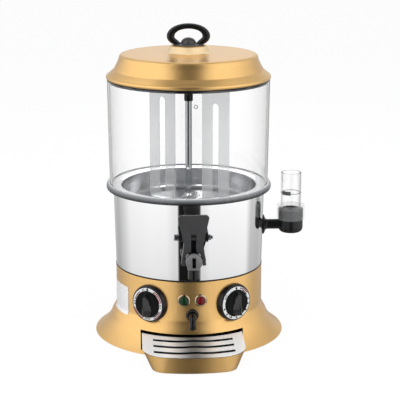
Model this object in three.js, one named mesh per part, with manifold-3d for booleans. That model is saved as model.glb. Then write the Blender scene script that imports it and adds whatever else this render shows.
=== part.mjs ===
// A counter-top dispenser for hot chocolate: a clear stirred jar over a heated pan,
// with a spring-closed tap.
// Millimetres, +Z up. The front faces -Y and +X is to its right. Heights are taken from the table top.
import * as THREE from 'three';
import { mergeVertices } from 'three/addons/utils/BufferGeometryUtils.js';
import Module from 'manifold-3d';

const wasm = await Module();
wasm.setup();

// Clearances and facet counts
const gap = 0.3; // between pieces that touch
const running = 0.5; // round a piece that turns or slides
const overrun = 4; // how far a cutter runs past what it cuts
const fullTurn = Math.PI * 2;
const quarterTurn = Math.PI / 2;
const facets = { body: 48, ring: 32, round: 20, small: 14, tiny: 8 };
const pathSteps = { heater: 36, pipe: 10 };

// Driving sizes of the round body, from the table up
const feet = { radius: 9, height: 3.7, fromEdge: 29.8, angles: [45, 135, 225, 315] };
const base = {
  stand: 0.3, // how far the painted housing stands proud of the steel shell
  top: 104.6,
  crease: 46, // height where the neck turns into the flared foot
  edge: 0.8, // height of the foot's edge over the table
  spread: 32.1, // how far the foot flares out from the neck
  wall: 1.5,
  lip: 9,
};
const basePlate = { thick: 1.2 };
const seam = { thick: 1.2, stand: 0.3 };
const shell = { radius: 109.4, flare: 2.9, height: 120.5, wall: 1.2 };
const bath = { airGap: 2.2, wall: 1.2, rimDrop: 5 };
const jar = { step: 5.1, flare: 2.3, height: 152.3, wall: 3 };
const pan = {
  edgeStand: 1.6,
  seat: 7,
  ledge: 14.4,
  funnel: 2.1,
  depth: 30.5,
  wall: 1.2,
  corner: 7,
  draft: 1.6,
};
const gasket = { stand: 3.5, under: 6.5, lip: 1.2, bulge: 1.2, radialGap: 0.4 };

// Heights and radii that follow
const baseRadius = shell.radius + base.stand;
const rimRadius = baseRadius + base.spread;
const sealBottom = base.top + gap;
const shellBottom = sealBottom + seam.thick + gap;
const shellTop = shellBottom + shell.height;
const shellTopRadius = shell.radius + shell.flare;
const flangeUnder = shellTop + gap;
const flangeTop = flangeUnder + pan.wall;
const jarBottom = flangeTop + gap;
const jarTop = jarBottom + jar.height;
const jarFootRadius = shellTopRadius + jar.step;
const jarTopRadius = jarFootRadius + jar.flare;
const flangeRadius = jarFootRadius + pan.edgeStand;
const mouthRadius = jarFootRadius - jar.wall - pan.ledge;
const mouthHeight = flangeTop - pan.funnel;
const panFloor = mouthHeight - pan.depth;
const bathRadius = shell.radius - shell.wall - bath.airGap;
const bathInside = bathRadius - bath.wall;
const bathFloor = shellBottom + bath.wall;
const bathTop = shellTop - bath.rimDrop;
const baseInside = baseRadius - base.wall;
const feetCircle = rimRadius - feet.fromEdge;
const plateBottom = feet.height + gap;
const plateTop = plateBottom + basePlate.thick;

// Shares of the foot's spread and of its rise, from the crease down to the edge
const flareShares = [
  [0, 1],
  [0.025, 0.923],
  [0.131, 0.779],
  [0.215, 0.673],
  [0.283, 0.553],
  [0.389, 0.416],
  [0.564, 0.27],
  [0.776, 0.133],
  [0.936, 0.046],
  [1, 0.013],
  [0.992, 0],
];

function shellRadiusAt(height) {
  return shell.radius + (shell.flare * (height - shellBottom)) / shell.height;
}

// Finishes, as the photograph shows them
const finishes = {
  goldPaint: { color: 0xcf9f55, roughness: 0.34, metalness: 0.75 },
  polishedSteel: { color: 0xd9dadc, roughness: 0.06, metalness: 1 },
  plainSteel: { color: 0xb4b6b8, roughness: 0.35, metalness: 1 },
  clearPlastic: { color: 0xf2f5f6, roughness: 0.05, metalness: 0, transparent: true, opacity: 0.3 },
  milkyPlastic: { color: 0xdfe1e2, roughness: 0.4, metalness: 0, transparent: true, opacity: 0.7 },
  blackPlastic: { color: 0x1b1c1e, roughness: 0.38, metalness: 0 },
  greyPlastic: { color: 0x55585b, roughness: 0.42, metalness: 0 },
  rubber: { color: 0x3f4245, roughness: 0.6, metalness: 0 },
  silicone: { color: 0xc9ccce, roughness: 0.55, metalness: 0 },
  bronze: { color: 0x9a6b3a, roughness: 0.4, metalness: 1 },
  greenLens: { color: 0x1f6b33, roughness: 0.15, metalness: 0 },
  redLens: { color: 0x9c1a24, roughness: 0.15, metalness: 0 },
  dialFoil: { color: 0xd4d6d8, roughness: 0.3, metalness: 0.8 },
};

const machine = new THREE.Group();

// Turns any closed geometry into one whose corners are shared and whose faces point out.
function closed(geometry) {
  const bare = geometry.clone();
  bare.deleteAttribute('normal');
  bare.deleteAttribute('uv');
  const merged = mergeVertices(bare, 1e-4);
  const index = merged.getIndex().array;
  const position = merged.getAttribute('position');
  const kept = [];
  let volume = 0;
  const a = new THREE.Vector3();
  const b = new THREE.Vector3();
  const c = new THREE.Vector3();
  for (let i = 0; i < index.length; i += 3) {
    const [p, q, r] = [index[i], index[i + 1], index[i + 2]];
    if (p === q || q === r || r === p) continue;
    kept.push(p, q, r);
    a.fromBufferAttribute(position, p);
    b.fromBufferAttribute(position, q);
    c.fromBufferAttribute(position, r);
    volume += a.dot(b.cross(c));
  }
  if (volume < 0) {
    kept.reverse();
  }
  const result = new THREE.BufferGeometry();
  result.setAttribute('position', position);
  result.setIndex(kept);
  return result;
}

function solidOf(geometry) {
  const shape = closed(geometry);
  return new wasm.Manifold(
    new wasm.Mesh({
      numProp: 3,
      vertProperties: new Float32Array(shape.getAttribute('position').array),
      triVerts: new Uint32Array(shape.getIndex().array),
    }),
  );
}

function geometryOf(solid) {
  const mesh = solid.getMesh();
  const geometry = new THREE.BufferGeometry();
  geometry.setAttribute('position', new THREE.BufferAttribute(new Float32Array(mesh.vertProperties), 3));
  geometry.setIndex(new THREE.BufferAttribute(new Uint32Array(mesh.triVerts), 1));
  return geometry;
}

// Adds one piece to a group. The shape is a geometry or a solid that has been cut or joined.
function addPiece(group, name, shape, finish) {
  const geometry = shape.isBufferGeometry ? closed(shape) : geometryOf(shape);
  const mesh = new THREE.Mesh(geometry, new THREE.MeshStandardMaterial(finish));
  mesh.name = name;
  group.add(mesh);
  return mesh;
}

// A turned shape about Z. Each point is a radius and a height.
function turned(points, count) {
  const outline = points.map(([radius, height]) => new THREE.Vector2(radius, height));
  const onAxis = points[0][0] === 0 && points[points.length - 1][0] === 0;
  if (!onAxis) {
    outline.push(outline[0].clone());
  }
  return new THREE.LatheGeometry(outline, count).rotateX(quarterTurn);
}

function rod(radius, low, high, count) {
  return turned([[0, low], [radius, low], [radius, high], [0, high]], count);
}

function ring(inner, outer, low, high, count) {
  return turned([[inner, low], [outer, low], [outer, high], [inner, high]], count);
}

function block(width, depth, low, high) {
  return new THREE.BoxGeometry(width, depth, high - low).translate(0, 0, (low + high) / 2);
}

// A flat outline in X and Y, given a thickness from one height to another
function slab(shape, low, high, steps) {
  const options = { depth: high - low, bevelEnabled: false, curveSegments: steps };
  return new THREE.ExtrudeGeometry(shape, options).translate(0, 0, low);
}

function regularShape(radius, count) {
  const points = [];
  for (let i = 0; i < count; i += 1) {
    const angle = (fullTurn * i) / count;
    points.push(new THREE.Vector2(radius * Math.cos(angle), radius * Math.sin(angle)));
  }
  return new THREE.Shape(points);
}

// A round bar along a path, solid or with a bore
function bar(path, radius, bore, count, steps) {
  const section = regularShape(radius, count);
  if (bore > 0) {
    section.holes.push(new THREE.Path(regularShape(bore, count).getPoints()));
  }
  return new THREE.ExtrudeGeometry(section, { extrudePath: path, steps, bevelEnabled: false });
}

// The inner side of a sheet: each point of the outer side moved square to it by the sheet's thickness.
function insideOf(points, thickness) {
  return points.map(([x, y], i) => {
    const before = points[Math.max(i - 1, 0)];
    const after = points[Math.min(i + 1, points.length - 1)];
    const length = Math.hypot(after[0] - before[0], after[1] - before[1]);
    const normal = [(after[1] - before[1]) / length, (before[0] - after[0]) / length];
    return [Math.max(x + normal[0] * thickness, 0), y + normal[1] * thickness];
  });
}

// Every second point, with both ends kept
function sparse(points) {
  return points.filter((point, i) => i % 2 === 0 || i === points.length - 1);
}

// A closed solid through rings of points at rising heights, all with the same number of points
function loft(levels) {
  const seenFromAbove = levels[0].map(([x, y]) => new THREE.Vector2(x, y));
  const clockwise = THREE.ShapeUtils.isClockWise(seenFromAbove);
  const rings = levels.map((points) => (clockwise ? [...points].reverse() : points));
  const count = rings[0].length;
  const positions = [];
  const index = [];
  rings.forEach((points) => points.forEach((point) => positions.push(...point)));
  for (let level = 0; level < rings.length - 1; level += 1) {
    for (let i = 0; i < count; i += 1) {
      const next = (i + 1) % count;
      const [p, q] = [level * count + i, level * count + next];
      index.push(p, q, q + count, p, q + count, p + count);
    }
  }
  const flat = rings[0].map(([x, y]) => new THREE.Vector2(x, y));
  const last = (rings.length - 1) * count;
  THREE.ShapeUtils.triangulateShape(flat, []).forEach(([a, b, c]) => {
    index.push(c, b, a, last + a, last + b, last + c);
  });
  const geometry = new THREE.BufferGeometry();
  geometry.setAttribute('position', new THREE.Float32BufferAttribute(positions, 3));
  geometry.setIndex(index);
  return geometry;
}

// A group whose Z points straight out of the round body, whose Y is up and whose X is to the right
// for someone facing it. The angle is counted from the front towards +X.
function radialMount(angle, height) {
  const turn = new THREE.Group();
  turn.rotation.z = THREE.MathUtils.degToRad(angle);
  const mount = new THREE.Group();
  mount.rotation.x = quarterTurn;
  mount.position.z = height;
  turn.add(mount);
  machine.add(turn);
  return mount;
}

// A cutter for a hole through the round body at a radial mount
function radialHole(angle, height, radius, from, to, count) {
  return solidOf(
    rod(radius, from, to, count)
      .rotateX(quarterTurn)
      .rotateZ(THREE.MathUtils.degToRad(angle))
      .translate(0, 0, height),
  );
}

// The round body as a cutter in a radial mount's own frame, so that a piece sits on its curve
function saddle(profile, angle, height) {
  return solidOf(
    turned(profile, facets.body)
      .rotateZ(THREE.MathUtils.degToRad(-angle))
      .translate(0, 0, -height)
      .rotateX(-quarterTurn),
  );
}

// The steel shell and the painted housing as such cutters, with the clearance left round them
function shellSaddle(angle, height) {
  const profile = [
    [0, shellBottom],
    [shell.radius + gap, shellBottom],
    [shellTopRadius + gap, shellTop],
    [0, shellTop],
  ];
  return saddle(profile, angle, height);
}

function housingSaddle(angle, height) {
  const outside = flarePoints.map(([radius, level]) => [radius + gap, level]);
  const profile = [[0, base.top], [baseRadius + gap, base.top], ...outside, [0, base.edge]];
  return saddle(profile, angle, height);
}

// Driving sizes of what is fitted to the body
const tray = {
  halfWidth: 73.2,
  front: 205.5,
  corner: 42,
  top: 24,
  edge: 0.4,
  back: 100,
  taper: 13, // how far each side leans in from the top to the bottom
  frontTaper: 1.5,
  footCorner: 21,
  wall: 1.6,
  rimClear: 0.6,
  recessClear: 1.7,
  openingOver: 3,
};
const grate = {
  thick: 0.8,
  neckClear: 2.2,
  firstSlot: 14,
  slotPitch: 24.8,
  slotHalf: 57.5,
  slotWidth: 8.4,
  dip: 3.4,
  rise: 7.5,
};
const controls = { angle: 33.5, height: 68.5 };
const bezel = { radius: 28, faceRadius: 26.4, height: 6.4 };
const dial = { outer: 24.4, inner: 20, thick: 0.7 };
const knob = {
  radius: 19.5,
  base: 4,
  gripLength: 37,
  gripWidth: 9,
  gripTop: 6.4,
  gripHeight: 8.8,
  bore: 5.5,
};
const spindle = { radius: 3, flat: 0.4 };
const switchBody = { radius: 16, length: 24, collarRadius: 5.5, collar: 6 };
const lamp = {
  angle: 6.4,
  height: 77,
  bezelRadius: 9.2,
  bezelHeight: 2.4,
  lensRadius: 6.2,
  dome: 3.2,
  depth: 14,
};
const drain = {
  height: 55,
  radius: 5.3,
  bore: 3.3,
  bend: 9.5,
  out: 5.5,
  drop: 7,
  grommetRadius: 9.3,
  grommet: 4,
  wallDistance: 30,
};
const cord = { height: 60, angle: 180, radius: 10, bore: 3.8, stand: 9, collar: 3 };
const heater = { radius: 52, tube: 4, height: 11, legSpread: 9, legDrop: 17, bend: 6 };
const motor = { gearRadius: 33, gearHeight: 26, canRadius: 24, canHeight: 30 };
const column = { radius: 5, wall: 0.8, top: 137.6, collarRadius: 11, collarHeight: 9.5, collarFlare: 6 };
const shaft = { radius: 3, top: 8.5, below: 6 };
const bush = { length: 10 };
const cap = { radius: 6.5, skirt: 15.8, top: 11, flange: 3.4, flangeThick: 2 };
const paddle = {
  angle: -40.5,
  wallClear: 24.4, // between a blade and the pan's wall
  collarClear: 14.8, // between a blade and the column's collar
  slot: 12,
  thick: 2.5,
  floorClear: 2.6,
  foot: 7,
  shoulder: 13.5,
  bridge: 10,
  bossWall: 3.4,
};
const outlet = { wallDistance: 24.8, radius: 10.5, wall: 1.6, stub: 7.6, floor: 3 };
const filler = {
  panClear: 21.1, // from the top of its nut to the pan's underside
  arm: 7.4,
  armBore: 5.2,
  flange: 14.8,
  flangeThick: 3,
  reach: 43,
  cup: 18.5,
  cupLow: 12,
  cupHigh: 24,
  cupFloor: 4,
  spigot: 7.4,
  nutRadius: 12.5,
  nutThick: 6,
};
const fillerHeight = panFloor - pan.wall - filler.panClear - filler.nutRadius;
const sight = { radius: 15.1, wall: 1.8, above: 55.6, seatGap: 0.4 };
const collar = { wall: 2.1, below: 16, above: 6, lip: 1.8 };
const lid = {
  overhang: 0.7,
  shoulder: 21, // how far the shoulder lies inside the rim
  skirt: 35,
  crown: 1.7,
  boss: 24.5,
  bossSpread: 6,
  bossRise: 11.2,
  bossEdge: 2.2,
  wall: 1.5,
};
const lidSeal = { thick: 1.8, width: 7, plug: 1.6, side: 0.5, plugWidth: 3 };
const hub = { radius: 22.8, thick: 2.8, domeRadius: 11.2, domeHeight: 9.2 };
const handle = { width: 63.4, height: 29.4, side: 11.6, top: 7.8, depth: 13, steps: 28 };
const screw = { radius: 2.5, head: 5, headThick: 3.2, length: 9 };

// Housing with its flared foot
const trayOpeningTop = tray.top + gap + grate.thick + tray.openingOver;
const trayOpeningHalf = tray.halfWidth + tray.recessClear;
const flareRise = base.crease - base.edge;
const flarePoints = flareShares.map(([out, up]) => [
  baseRadius + out * base.spread,
  base.edge + up * flareRise,
]);
const flareInside = insideOf([...flarePoints].reverse(), -base.wall).reverse();

// Radius of the flared foot at a height, outside or inside
function flareRadius(points, height) {
  for (let i = 1; i < points.length; i += 1) {
    const [above, below] = [points[i - 1], points[i]];
    if (height <= above[1] && height >= below[1]) {
      return above[0] + ((below[0] - above[0]) * (above[1] - height)) / (above[1] - below[1]);
    }
  }
  return height > points[0][1] ? points[0][0] : points[points.length - 1][0];
}

function makeHousing() {
  const outside = [[baseRadius, base.top], ...flarePoints];
  const inside = insideOf(sparse(outside).reverse(), -base.wall).slice(1, -1);
  const profile = [
    ...outside,
    ...inside,
    [baseInside, base.top - base.wall],
    [baseInside - base.lip, base.top - base.wall],
    [baseInside - base.lip, base.top],
  ];
  const openingBlock = block(trayOpeningHalf * 2, rimRadius, plateTop, trayOpeningTop);
  const opening = openingBlock.translate(0, -rimRadius, 0);
  let solid = solidOf(turned(profile, facets.body)).subtract(solidOf(opening));
  const holes = [
    [controls.angle, controls.height, spindle.radius + running],
    [-controls.angle, controls.height, spindle.radius + running],
    [lamp.angle, lamp.height, lamp.lensRadius + gap],
    [-lamp.angle, lamp.height, lamp.lensRadius + gap],
    [0, drain.height, drain.radius + gap],
    [cord.angle, cord.height, cord.radius - cord.collar + gap],
  ];
  holes.forEach(([angle, height, radius]) => {
    const out = baseRadius + overrun;
    solid = solid.subtract(radialHole(angle, height, radius, baseInside - overrun, out, facets.small));
  });
  addPiece(machine, 'base_housing', solid, finishes.goldPaint);
}

function makeBasePlate() {
  const radius = Math.min(flareRadius(flareInside, plateTop), flareRadius(flareInside, plateBottom)) - gap;
  addPiece(machine, 'base_plate', rod(radius, plateBottom, plateTop, facets.body), finishes.plainSteel);
  feet.angles.forEach((angle, i) => {
    const turn = THREE.MathUtils.degToRad(angle);
    const foot = addPiece(
      machine,
      `rubber_foot_${i + 1}`,
      rod(feet.radius, 0, feet.height, facets.small),
      finishes.rubber,
    );
    foot.position.set(feetCircle * Math.cos(turn), feetCircle * Math.sin(turn), 0);
  });
}

// The steel shell stands on the seam seal, which lies on the housing's inner lip.
function makeShellAndBath() {
  const sealOuter = baseRadius + seam.stand;
  const seal = ring(baseInside - base.lip, sealOuter, sealBottom, sealBottom + seam.thick, facets.body);
  addPiece(machine, 'seam_seal', seal, finishes.rubber);

  const shellProfile = [
    [shell.radius - shell.wall, shellBottom],
    [shell.radius, shellBottom],
    [shellTopRadius, shellTop],
    [shellTopRadius - shell.wall, shellTop],
  ];
  const through = shellTopRadius + overrun;
  const within = bathInside - overrun;
  const outletHole = radialHole(0, tap.height, outlet.radius + gap, within, through, facets.round);
  const fillerHole = radialHole(90, fillerHeight, filler.spigot + gap, within, through, facets.small);
  const steel = solidOf(turned(shellProfile, facets.body)).subtract(outletHole).subtract(fillerHole);
  addPiece(machine, 'outer_shell', steel, finishes.polishedSteel);

  const bathProfile = [
    [shaft.radius + running, shellBottom],
    [bathRadius, shellBottom],
    [bathRadius, bathTop],
    [bathInside, bathTop],
    [bathInside, bathFloor],
    [shaft.radius + running, bathFloor],
  ];
  const floorHole = (radius) =>
    solidOf(rod(radius, shellBottom - overrun, bathFloor + overrun, facets.small));
  const legHole = floorHole(heater.tube + gap);
  const drainHole = floorHole(drain.radius + gap);
  const tank = solidOf(turned(bathProfile, facets.body))
    .subtract(outletHole)
    .subtract(fillerHole)
    .subtract(legHole.translate(heater.legSpread, heater.radius, 0))
    .subtract(legHole.translate(-heater.legSpread, heater.radius, 0))
    .subtract(drainHole.translate(0, -drainPipeDistance, 0));
  addPiece(machine, 'bath_tank', tank, finishes.plainSteel);
}

// The pan hangs in the bath by its flange, which rests on the shell's top edge.
function makePan() {
  const top = [
    [flangeRadius, flangeTop],
    [flangeRadius - pan.seat, flangeTop],
    [mouthRadius + pan.wall, mouthHeight + pan.wall / 2],
    [mouthRadius, mouthHeight - pan.wall / 2],
    [mouthRadius - pan.draft, panFloor + pan.corner],
  ];
  const cornerSteps = 2;
  for (let i = 1; i <= cornerSteps; i += 1) {
    const angle = (quarterTurn * i) / cornerSteps;
    top.push([
      mouthRadius - pan.draft - pan.corner * (1 - Math.cos(angle)),
      panFloor + pan.corner * (1 - Math.sin(angle)),
    ]);
  }
  const hole = column.radius + gap;
  top.push([hole, panFloor]);
  const under = insideOf(top, -pan.wall).reverse();
  under[0] = [hole, panFloor - pan.wall];
  under[under.length - 1] = [flangeRadius, flangeUnder];
  const drainBore = outlet.radius - outlet.wall;
  const drainHole = solidOf(rod(drainBore, panFloor - overrun, panFloor + overrun, facets.round));
  const sheet = solidOf(turned([...top, ...under], facets.body));
  const steel = sheet.subtract(drainHole.translate(0, -outletDistance, 0));
  addPiece(machine, 'product_pan', steel, finishes.polishedSteel);
}

function makeGasket() {
  const outer = flangeRadius + gasket.stand;
  const low = flangeUnder - gasket.under;
  const inner = shellTopRadius + gasket.radialGap;
  const lipInner = jarFootRadius + gasket.radialGap;
  const groove = flangeRadius + gap;
  const top = jarBottom + gasket.lip;
  const profile = [
    [inner, low],
    [outer - gasket.bulge, low],
    [outer - gap, low + gasket.bulge],
    [outer, (low + flangeUnder) / 2],
    [outer - gap, flangeUnder],
    [outer - gasket.bulge, flangeTop],
    [flangeRadius + gap, top],
    [lipInner, top],
    [lipInner, jarBottom],
    [groove, jarBottom],
    [groove, flangeUnder - gap],
    [inner, flangeUnder - gap],
  ];
  addPiece(machine, 'jar_gasket', turned(profile, facets.body), finishes.rubber);
}

function makeJar() {
  const profile = [
    [jarFootRadius - jar.wall, jarBottom],
    [jarFootRadius, jarBottom],
    [jarTopRadius, jarTop],
    [jarTopRadius - jar.wall, jarTop],
  ];
  addPiece(machine, 'jar', turned(profile, facets.body), finishes.clearPlastic);
}

// The lid, its seal and its handle
const sealUnder = jarTop + gap;
const lidBottom = sealUnder + lidSeal.thick + gap;
const lidRimRadius = jarTopRadius + lid.overhang;
const shoulderRadius = lidRimRadius - lid.shoulder;
const shoulderHeight = lidBottom + lid.skirt;
const crownHeight = shoulderHeight + lid.crown;
const bossTop = crownHeight + lid.bossRise;

// Shares of the shoulder's inset and of the skirt's height, from the shoulder down to the rolled rim
const skirtShares = [
  [0.025, 0.95],
  [0.1, 0.775],
  [0.22, 0.605],
  [0.357, 0.437],
  [0.457, 0.34],
  [0.61, 0.27],
  [0.79, 0.183],
  [0.96, 0.1],
  [1, 0.037],
  [0.975, 0],
];

function makeLid() {
  const outside = [
    [0, bossTop],
    [lid.boss, bossTop],
    [lid.boss + lid.bossEdge, bossTop - lid.bossEdge],
    [lid.boss + lid.bossSpread, crownHeight + lid.crown],
    [lid.boss + lid.bossSpread * 1.6, crownHeight],
    [shoulderRadius - lid.bossSpread, shoulderHeight + lid.crown / 3],
    [shoulderRadius - lid.crown, shoulderHeight],
    ...skirtShares.map(([out, up]) => [shoulderRadius + out * lid.shoulder, lidBottom + up * lid.skirt]),
  ];
  const inside = insideOf([...outside.slice(0, 2), ...sparse(outside.slice(2))].reverse(), -lid.wall);
  inside[inside.length - 1] = [0, bossTop - lid.wall];
  const hole = solidOf(rod(screw.radius + gap, bossTop - overrun, bossTop + overrun, facets.tiny));
  const solid = solidOf(turned([...outside, ...inside], facets.body)).subtract(hole);
  addPiece(machine, 'lid_shell', solid, finishes.goldPaint);

  const plugRadius = jarTopRadius - jar.wall - lidSeal.side;
  const sealProfile = [
    [plugRadius - lidSeal.plugWidth, sealUnder - lidSeal.plug],
    [plugRadius, sealUnder - lidSeal.plug],
    [plugRadius, sealUnder],
    [lidRimRadius, sealUnder],
    [lidRimRadius, sealUnder + lidSeal.thick],
    [plugRadius - lidSeal.plugWidth, sealUnder + lidSeal.thick],
  ];
  addPiece(machine, 'lid_seal', turned(sealProfile, facets.body), finishes.rubber);
}

// Shares of the half width and height of the middle of the handle's bar, from a foot to the top
const handleShares = [
  [0.52, -0.26],
  [0.68, 0],
  [0.94, 0.25],
  [1, 0.46],
  [0.9, 0.68],
  [0.67, 0.86],
  [0.35, 0.965],
  [0, 1],
];
const gripShares = [
  [1, 0.45],
  [0.66, 1],
  [-0.66, 1],
  [-1, 0.45],
  [-1, -0.45],
  [-0.66, -1],
  [0.66, -1],
  [1, -0.45],
];
const domeShares = [
  [1, 0],
  [0.8, 0.42],
  [0.58, 0.76],
  [0.32, 0.96],
];

function makeHandle() {
  const hubBottom = bossTop + gap;
  const hubTop = hubBottom + hub.thick;
  const profile = [
    [0, hubBottom],
    [hub.radius - hub.thick / 2, hubBottom],
    [hub.radius, hubBottom + hub.thick / 2],
    [hub.radius - hub.thick / 2, hubTop],
    ...domeShares.map(([out, up]) => [out * hub.domeRadius, hubTop + up * hub.domeHeight]),
    [0, hubTop + hub.domeHeight],
  ];
  const screwHole = rod(screw.radius + gap, hubBottom - overrun, hubBottom + screw.length, facets.tiny);
  const hubSolid = solidOf(turned(profile, facets.round)).subtract(solidOf(screwHole));
  addPiece(machine, 'lid_handle_hub', hubSolid, finishes.greyPlastic);

  // The bar follows its loop, thicker at the sides than on top, and is cut off level
  // where it stands on the hub.
  const foot = hubTop + gap;
  const halfWidth = (handle.width - handle.side) / 2;
  const rise = handle.height - handle.top / 2;
  const middle = handleShares.map(([out, up]) => new THREE.Vector3(-out * halfWidth, 0, foot + up * rise));
  const otherSide = middle.slice(0, -1).map(({ x, z }) => new THREE.Vector3(-x, 0, z));
  const path = new THREE.CatmullRomCurve3([...middle, ...otherSide.reverse()], false, 'centripetal');
  const levels = [];
  for (let i = 0; i <= handle.steps; i += 1) {
    const upright = path.getTangentAt(i / handle.steps).z ** 2;
    const thick = handle.top + (handle.side - handle.top) * upright;
    levels.push(gripShares.map(([deep, across]) => [(across * thick) / 2, (deep * handle.depth) / 2, i]));
  }
  const grip = loft(levels);
  const corners = grip.getAttribute('position');
  for (let i = 0; i < corners.count; i += 1) {
    const share = corners.getZ(i) / handle.steps;
    const centre = path.getPointAt(share);
    const along = path.getTangentAt(share);
    const across = corners.getX(i);
    corners.setXYZ(i, centre.x - along.z * across, corners.getY(i), centre.z + along.x * across);
  }
  const above = solidOf(block(handle.width * 2, handle.depth * 2, foot, foot + handle.height * 2));
  addPiece(machine, 'lid_handle', solidOf(grip).intersect(above), finishes.blackPlastic);

  const headTop = bossTop - lid.wall - gap;
  const screwProfile = [
    [0, headTop - screw.headThick],
    [screw.head, headTop - screw.headThick],
    [screw.head, headTop],
    [screw.radius, headTop],
    [screw.radius, hubBottom + screw.length - gap],
    [0, hubBottom + screw.length - gap],
  ];
  addPiece(machine, 'lid_handle_screw', turned(screwProfile, facets.tiny), finishes.plainSteel);
}

// The stirrer: a fixed column with the drive shaft inside it, and the paddle that hangs from the cap on top
const columnTop = jarBottom + column.top;
const columnBore = column.radius - column.wall;
const shaftTop = columnTop + shaft.top;
const capBottom = columnTop - cap.skirt;
const capTop = columnTop + cap.top;
const bladeInner = column.collarRadius + paddle.collarClear;
const bladeOuter = mouthRadius - pan.draft - paddle.wallClear;

function makeStirrer() {
  const columnTube = ring(columnBore, column.radius, bathFloor + gap, columnTop, facets.small);
  addPiece(machine, 'mixer_column', columnTube, finishes.polishedSteel);

  const collarBottom = panFloor + gap;
  const collarProfile = [
    [column.radius + gap, collarBottom],
    [column.collarRadius, collarBottom],
    [column.collarRadius, collarBottom + column.collarHeight],
    [column.radius + column.wall + gap, collarBottom + column.collarHeight + column.collarFlare],
    [column.radius + gap, collarBottom + column.collarHeight + column.collarFlare],
  ];
  addPiece(machine, 'column_collar', turned(collarProfile, facets.round), finishes.polishedSteel);

  const shaftBottom = shellBottom - gap - shaft.below;
  const shaftRod = rod(shaft.radius, shaftBottom, shaftTop, facets.small);
  addPiece(machine, 'drive_shaft', shaftRod, finishes.plainSteel);

  const bushTop = columnTop - gap;
  const bushRing = ring(shaft.radius + gap, columnBore - gap, bushTop - bush.length, bushTop, facets.small);
  addPiece(machine, 'shaft_bush', bushRing, finishes.bronze);

  const gearTop = shellBottom - gap;
  const gearBottom = gearTop - motor.gearHeight;
  const canBottom = gearBottom - motor.canHeight;
  const socket = shaft.radius + gap;
  const motorProfile = [
    [0, canBottom],
    [motor.canRadius, canBottom],
    [motor.canRadius, gearBottom],
    [motor.gearRadius, gearBottom],
    [motor.gearRadius, gearTop],
    [socket, gearTop],
    [socket, shaftBottom - gap],
    [0, shaftBottom - gap],
  ];
  addPiece(machine, 'gear_motor', turned(motorProfile, facets.round), finishes.plainSteel);

  const capProfile = [
    [column.radius + running, capBottom],
    [cap.radius, capBottom],
    [cap.radius, capTop - cap.flangeThick],
    [cap.radius + cap.flange, capTop - cap.flangeThick],
    [cap.radius + cap.flange, capTop],
    [0, capTop],
    [0, shaftTop + gap],
    [shaft.radius + gap, shaftTop + gap],
    [shaft.radius + gap, columnTop + running],
    [column.radius + running, columnTop + running],
  ];
  const capShape = [...capProfile.slice(6), ...capProfile.slice(0, 6)];
  addPiece(machine, 'mixer_cap', turned(capShape, facets.small), finishes.blackPlastic);

  // The paddle's outline is drawn in radius and height, then stood up and turned to where it stopped.
  const low = panFloor + paddle.floorClear;
  const high = capTop - cap.flangeThick - gap;
  const shape = new THREE.Shape();
  shape.moveTo(-bladeOuter, low);
  shape.lineTo(-bladeInner, low);
  shape.lineTo(-bladeInner, high - paddle.bridge);
  shape.lineTo(bladeInner, high - paddle.bridge);
  shape.lineTo(bladeInner, low);
  shape.lineTo(bladeOuter, low);
  shape.lineTo(bladeOuter, high);
  shape.lineTo(-bladeOuter, high);
  shape.closePath();
  const slotLow = low + paddle.foot;
  const slotHigh = high - paddle.bridge - paddle.shoulder;
  [-1, 1].forEach((side) => {
    const middle = (side * (bladeInner + bladeOuter)) / 2;
    const slot = new THREE.Path();
    slot.absarc(middle, slotHigh - paddle.slot / 2, paddle.slot / 2, 0, Math.PI, false);
    slot.absarc(middle, slotLow + paddle.slot / 2, paddle.slot / 2, Math.PI, fullTurn, false);
    slot.closePath();
    shape.holes.push(slot);
  });
  const plate = slab(shape, -paddle.thick / 2, paddle.thick / 2, 4).rotateX(quarterTurn);
  const boss = rod(cap.radius + gap + paddle.bossWall, high - paddle.bridge, high, facets.small);
  const bore = rod(cap.radius + gap, high - paddle.bridge - overrun, high + overrun, facets.small);
  const blades = solidOf(plate).add(solidOf(boss)).subtract(solidOf(bore));
  const mixer = addPiece(machine, 'mixer_paddle', blades, finishes.milkyPlastic);
  mixer.rotation.z = THREE.MathUtils.degToRad(paddle.angle);
}

function makeHeater() {
  const floor = bathFloor + heater.height;
  const start = Math.atan2(heater.radius, heater.legSpread);
  const sweep = fullTurn - 2 * (quarterTurn - start);
  const points = [];
  const leg = (side) => [
    new THREE.Vector3(side * heater.legSpread, heater.radius, floor - heater.legDrop - heater.bend),
    new THREE.Vector3(side * heater.legSpread, heater.radius, bathFloor + gap),
    new THREE.Vector3(side * heater.legSpread, heater.radius, floor - heater.bend),
  ];
  points.push(...leg(1));
  const turns = 14;
  for (let i = 1; i < turns; i += 1) {
    const angle = start - (sweep * i) / turns;
    points.push(new THREE.Vector3(heater.radius * Math.cos(angle), heater.radius * Math.sin(angle), floor));
  }
  points.push(...leg(-1).reverse());
  const path = new THREE.CatmullRomCurve3(points, false, 'centripetal');
  const element = bar(path, heater.tube, 0, facets.tiny, pathSteps.heater);
  addPiece(machine, 'heating_element', element, finishes.plainSteel);
}

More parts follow.
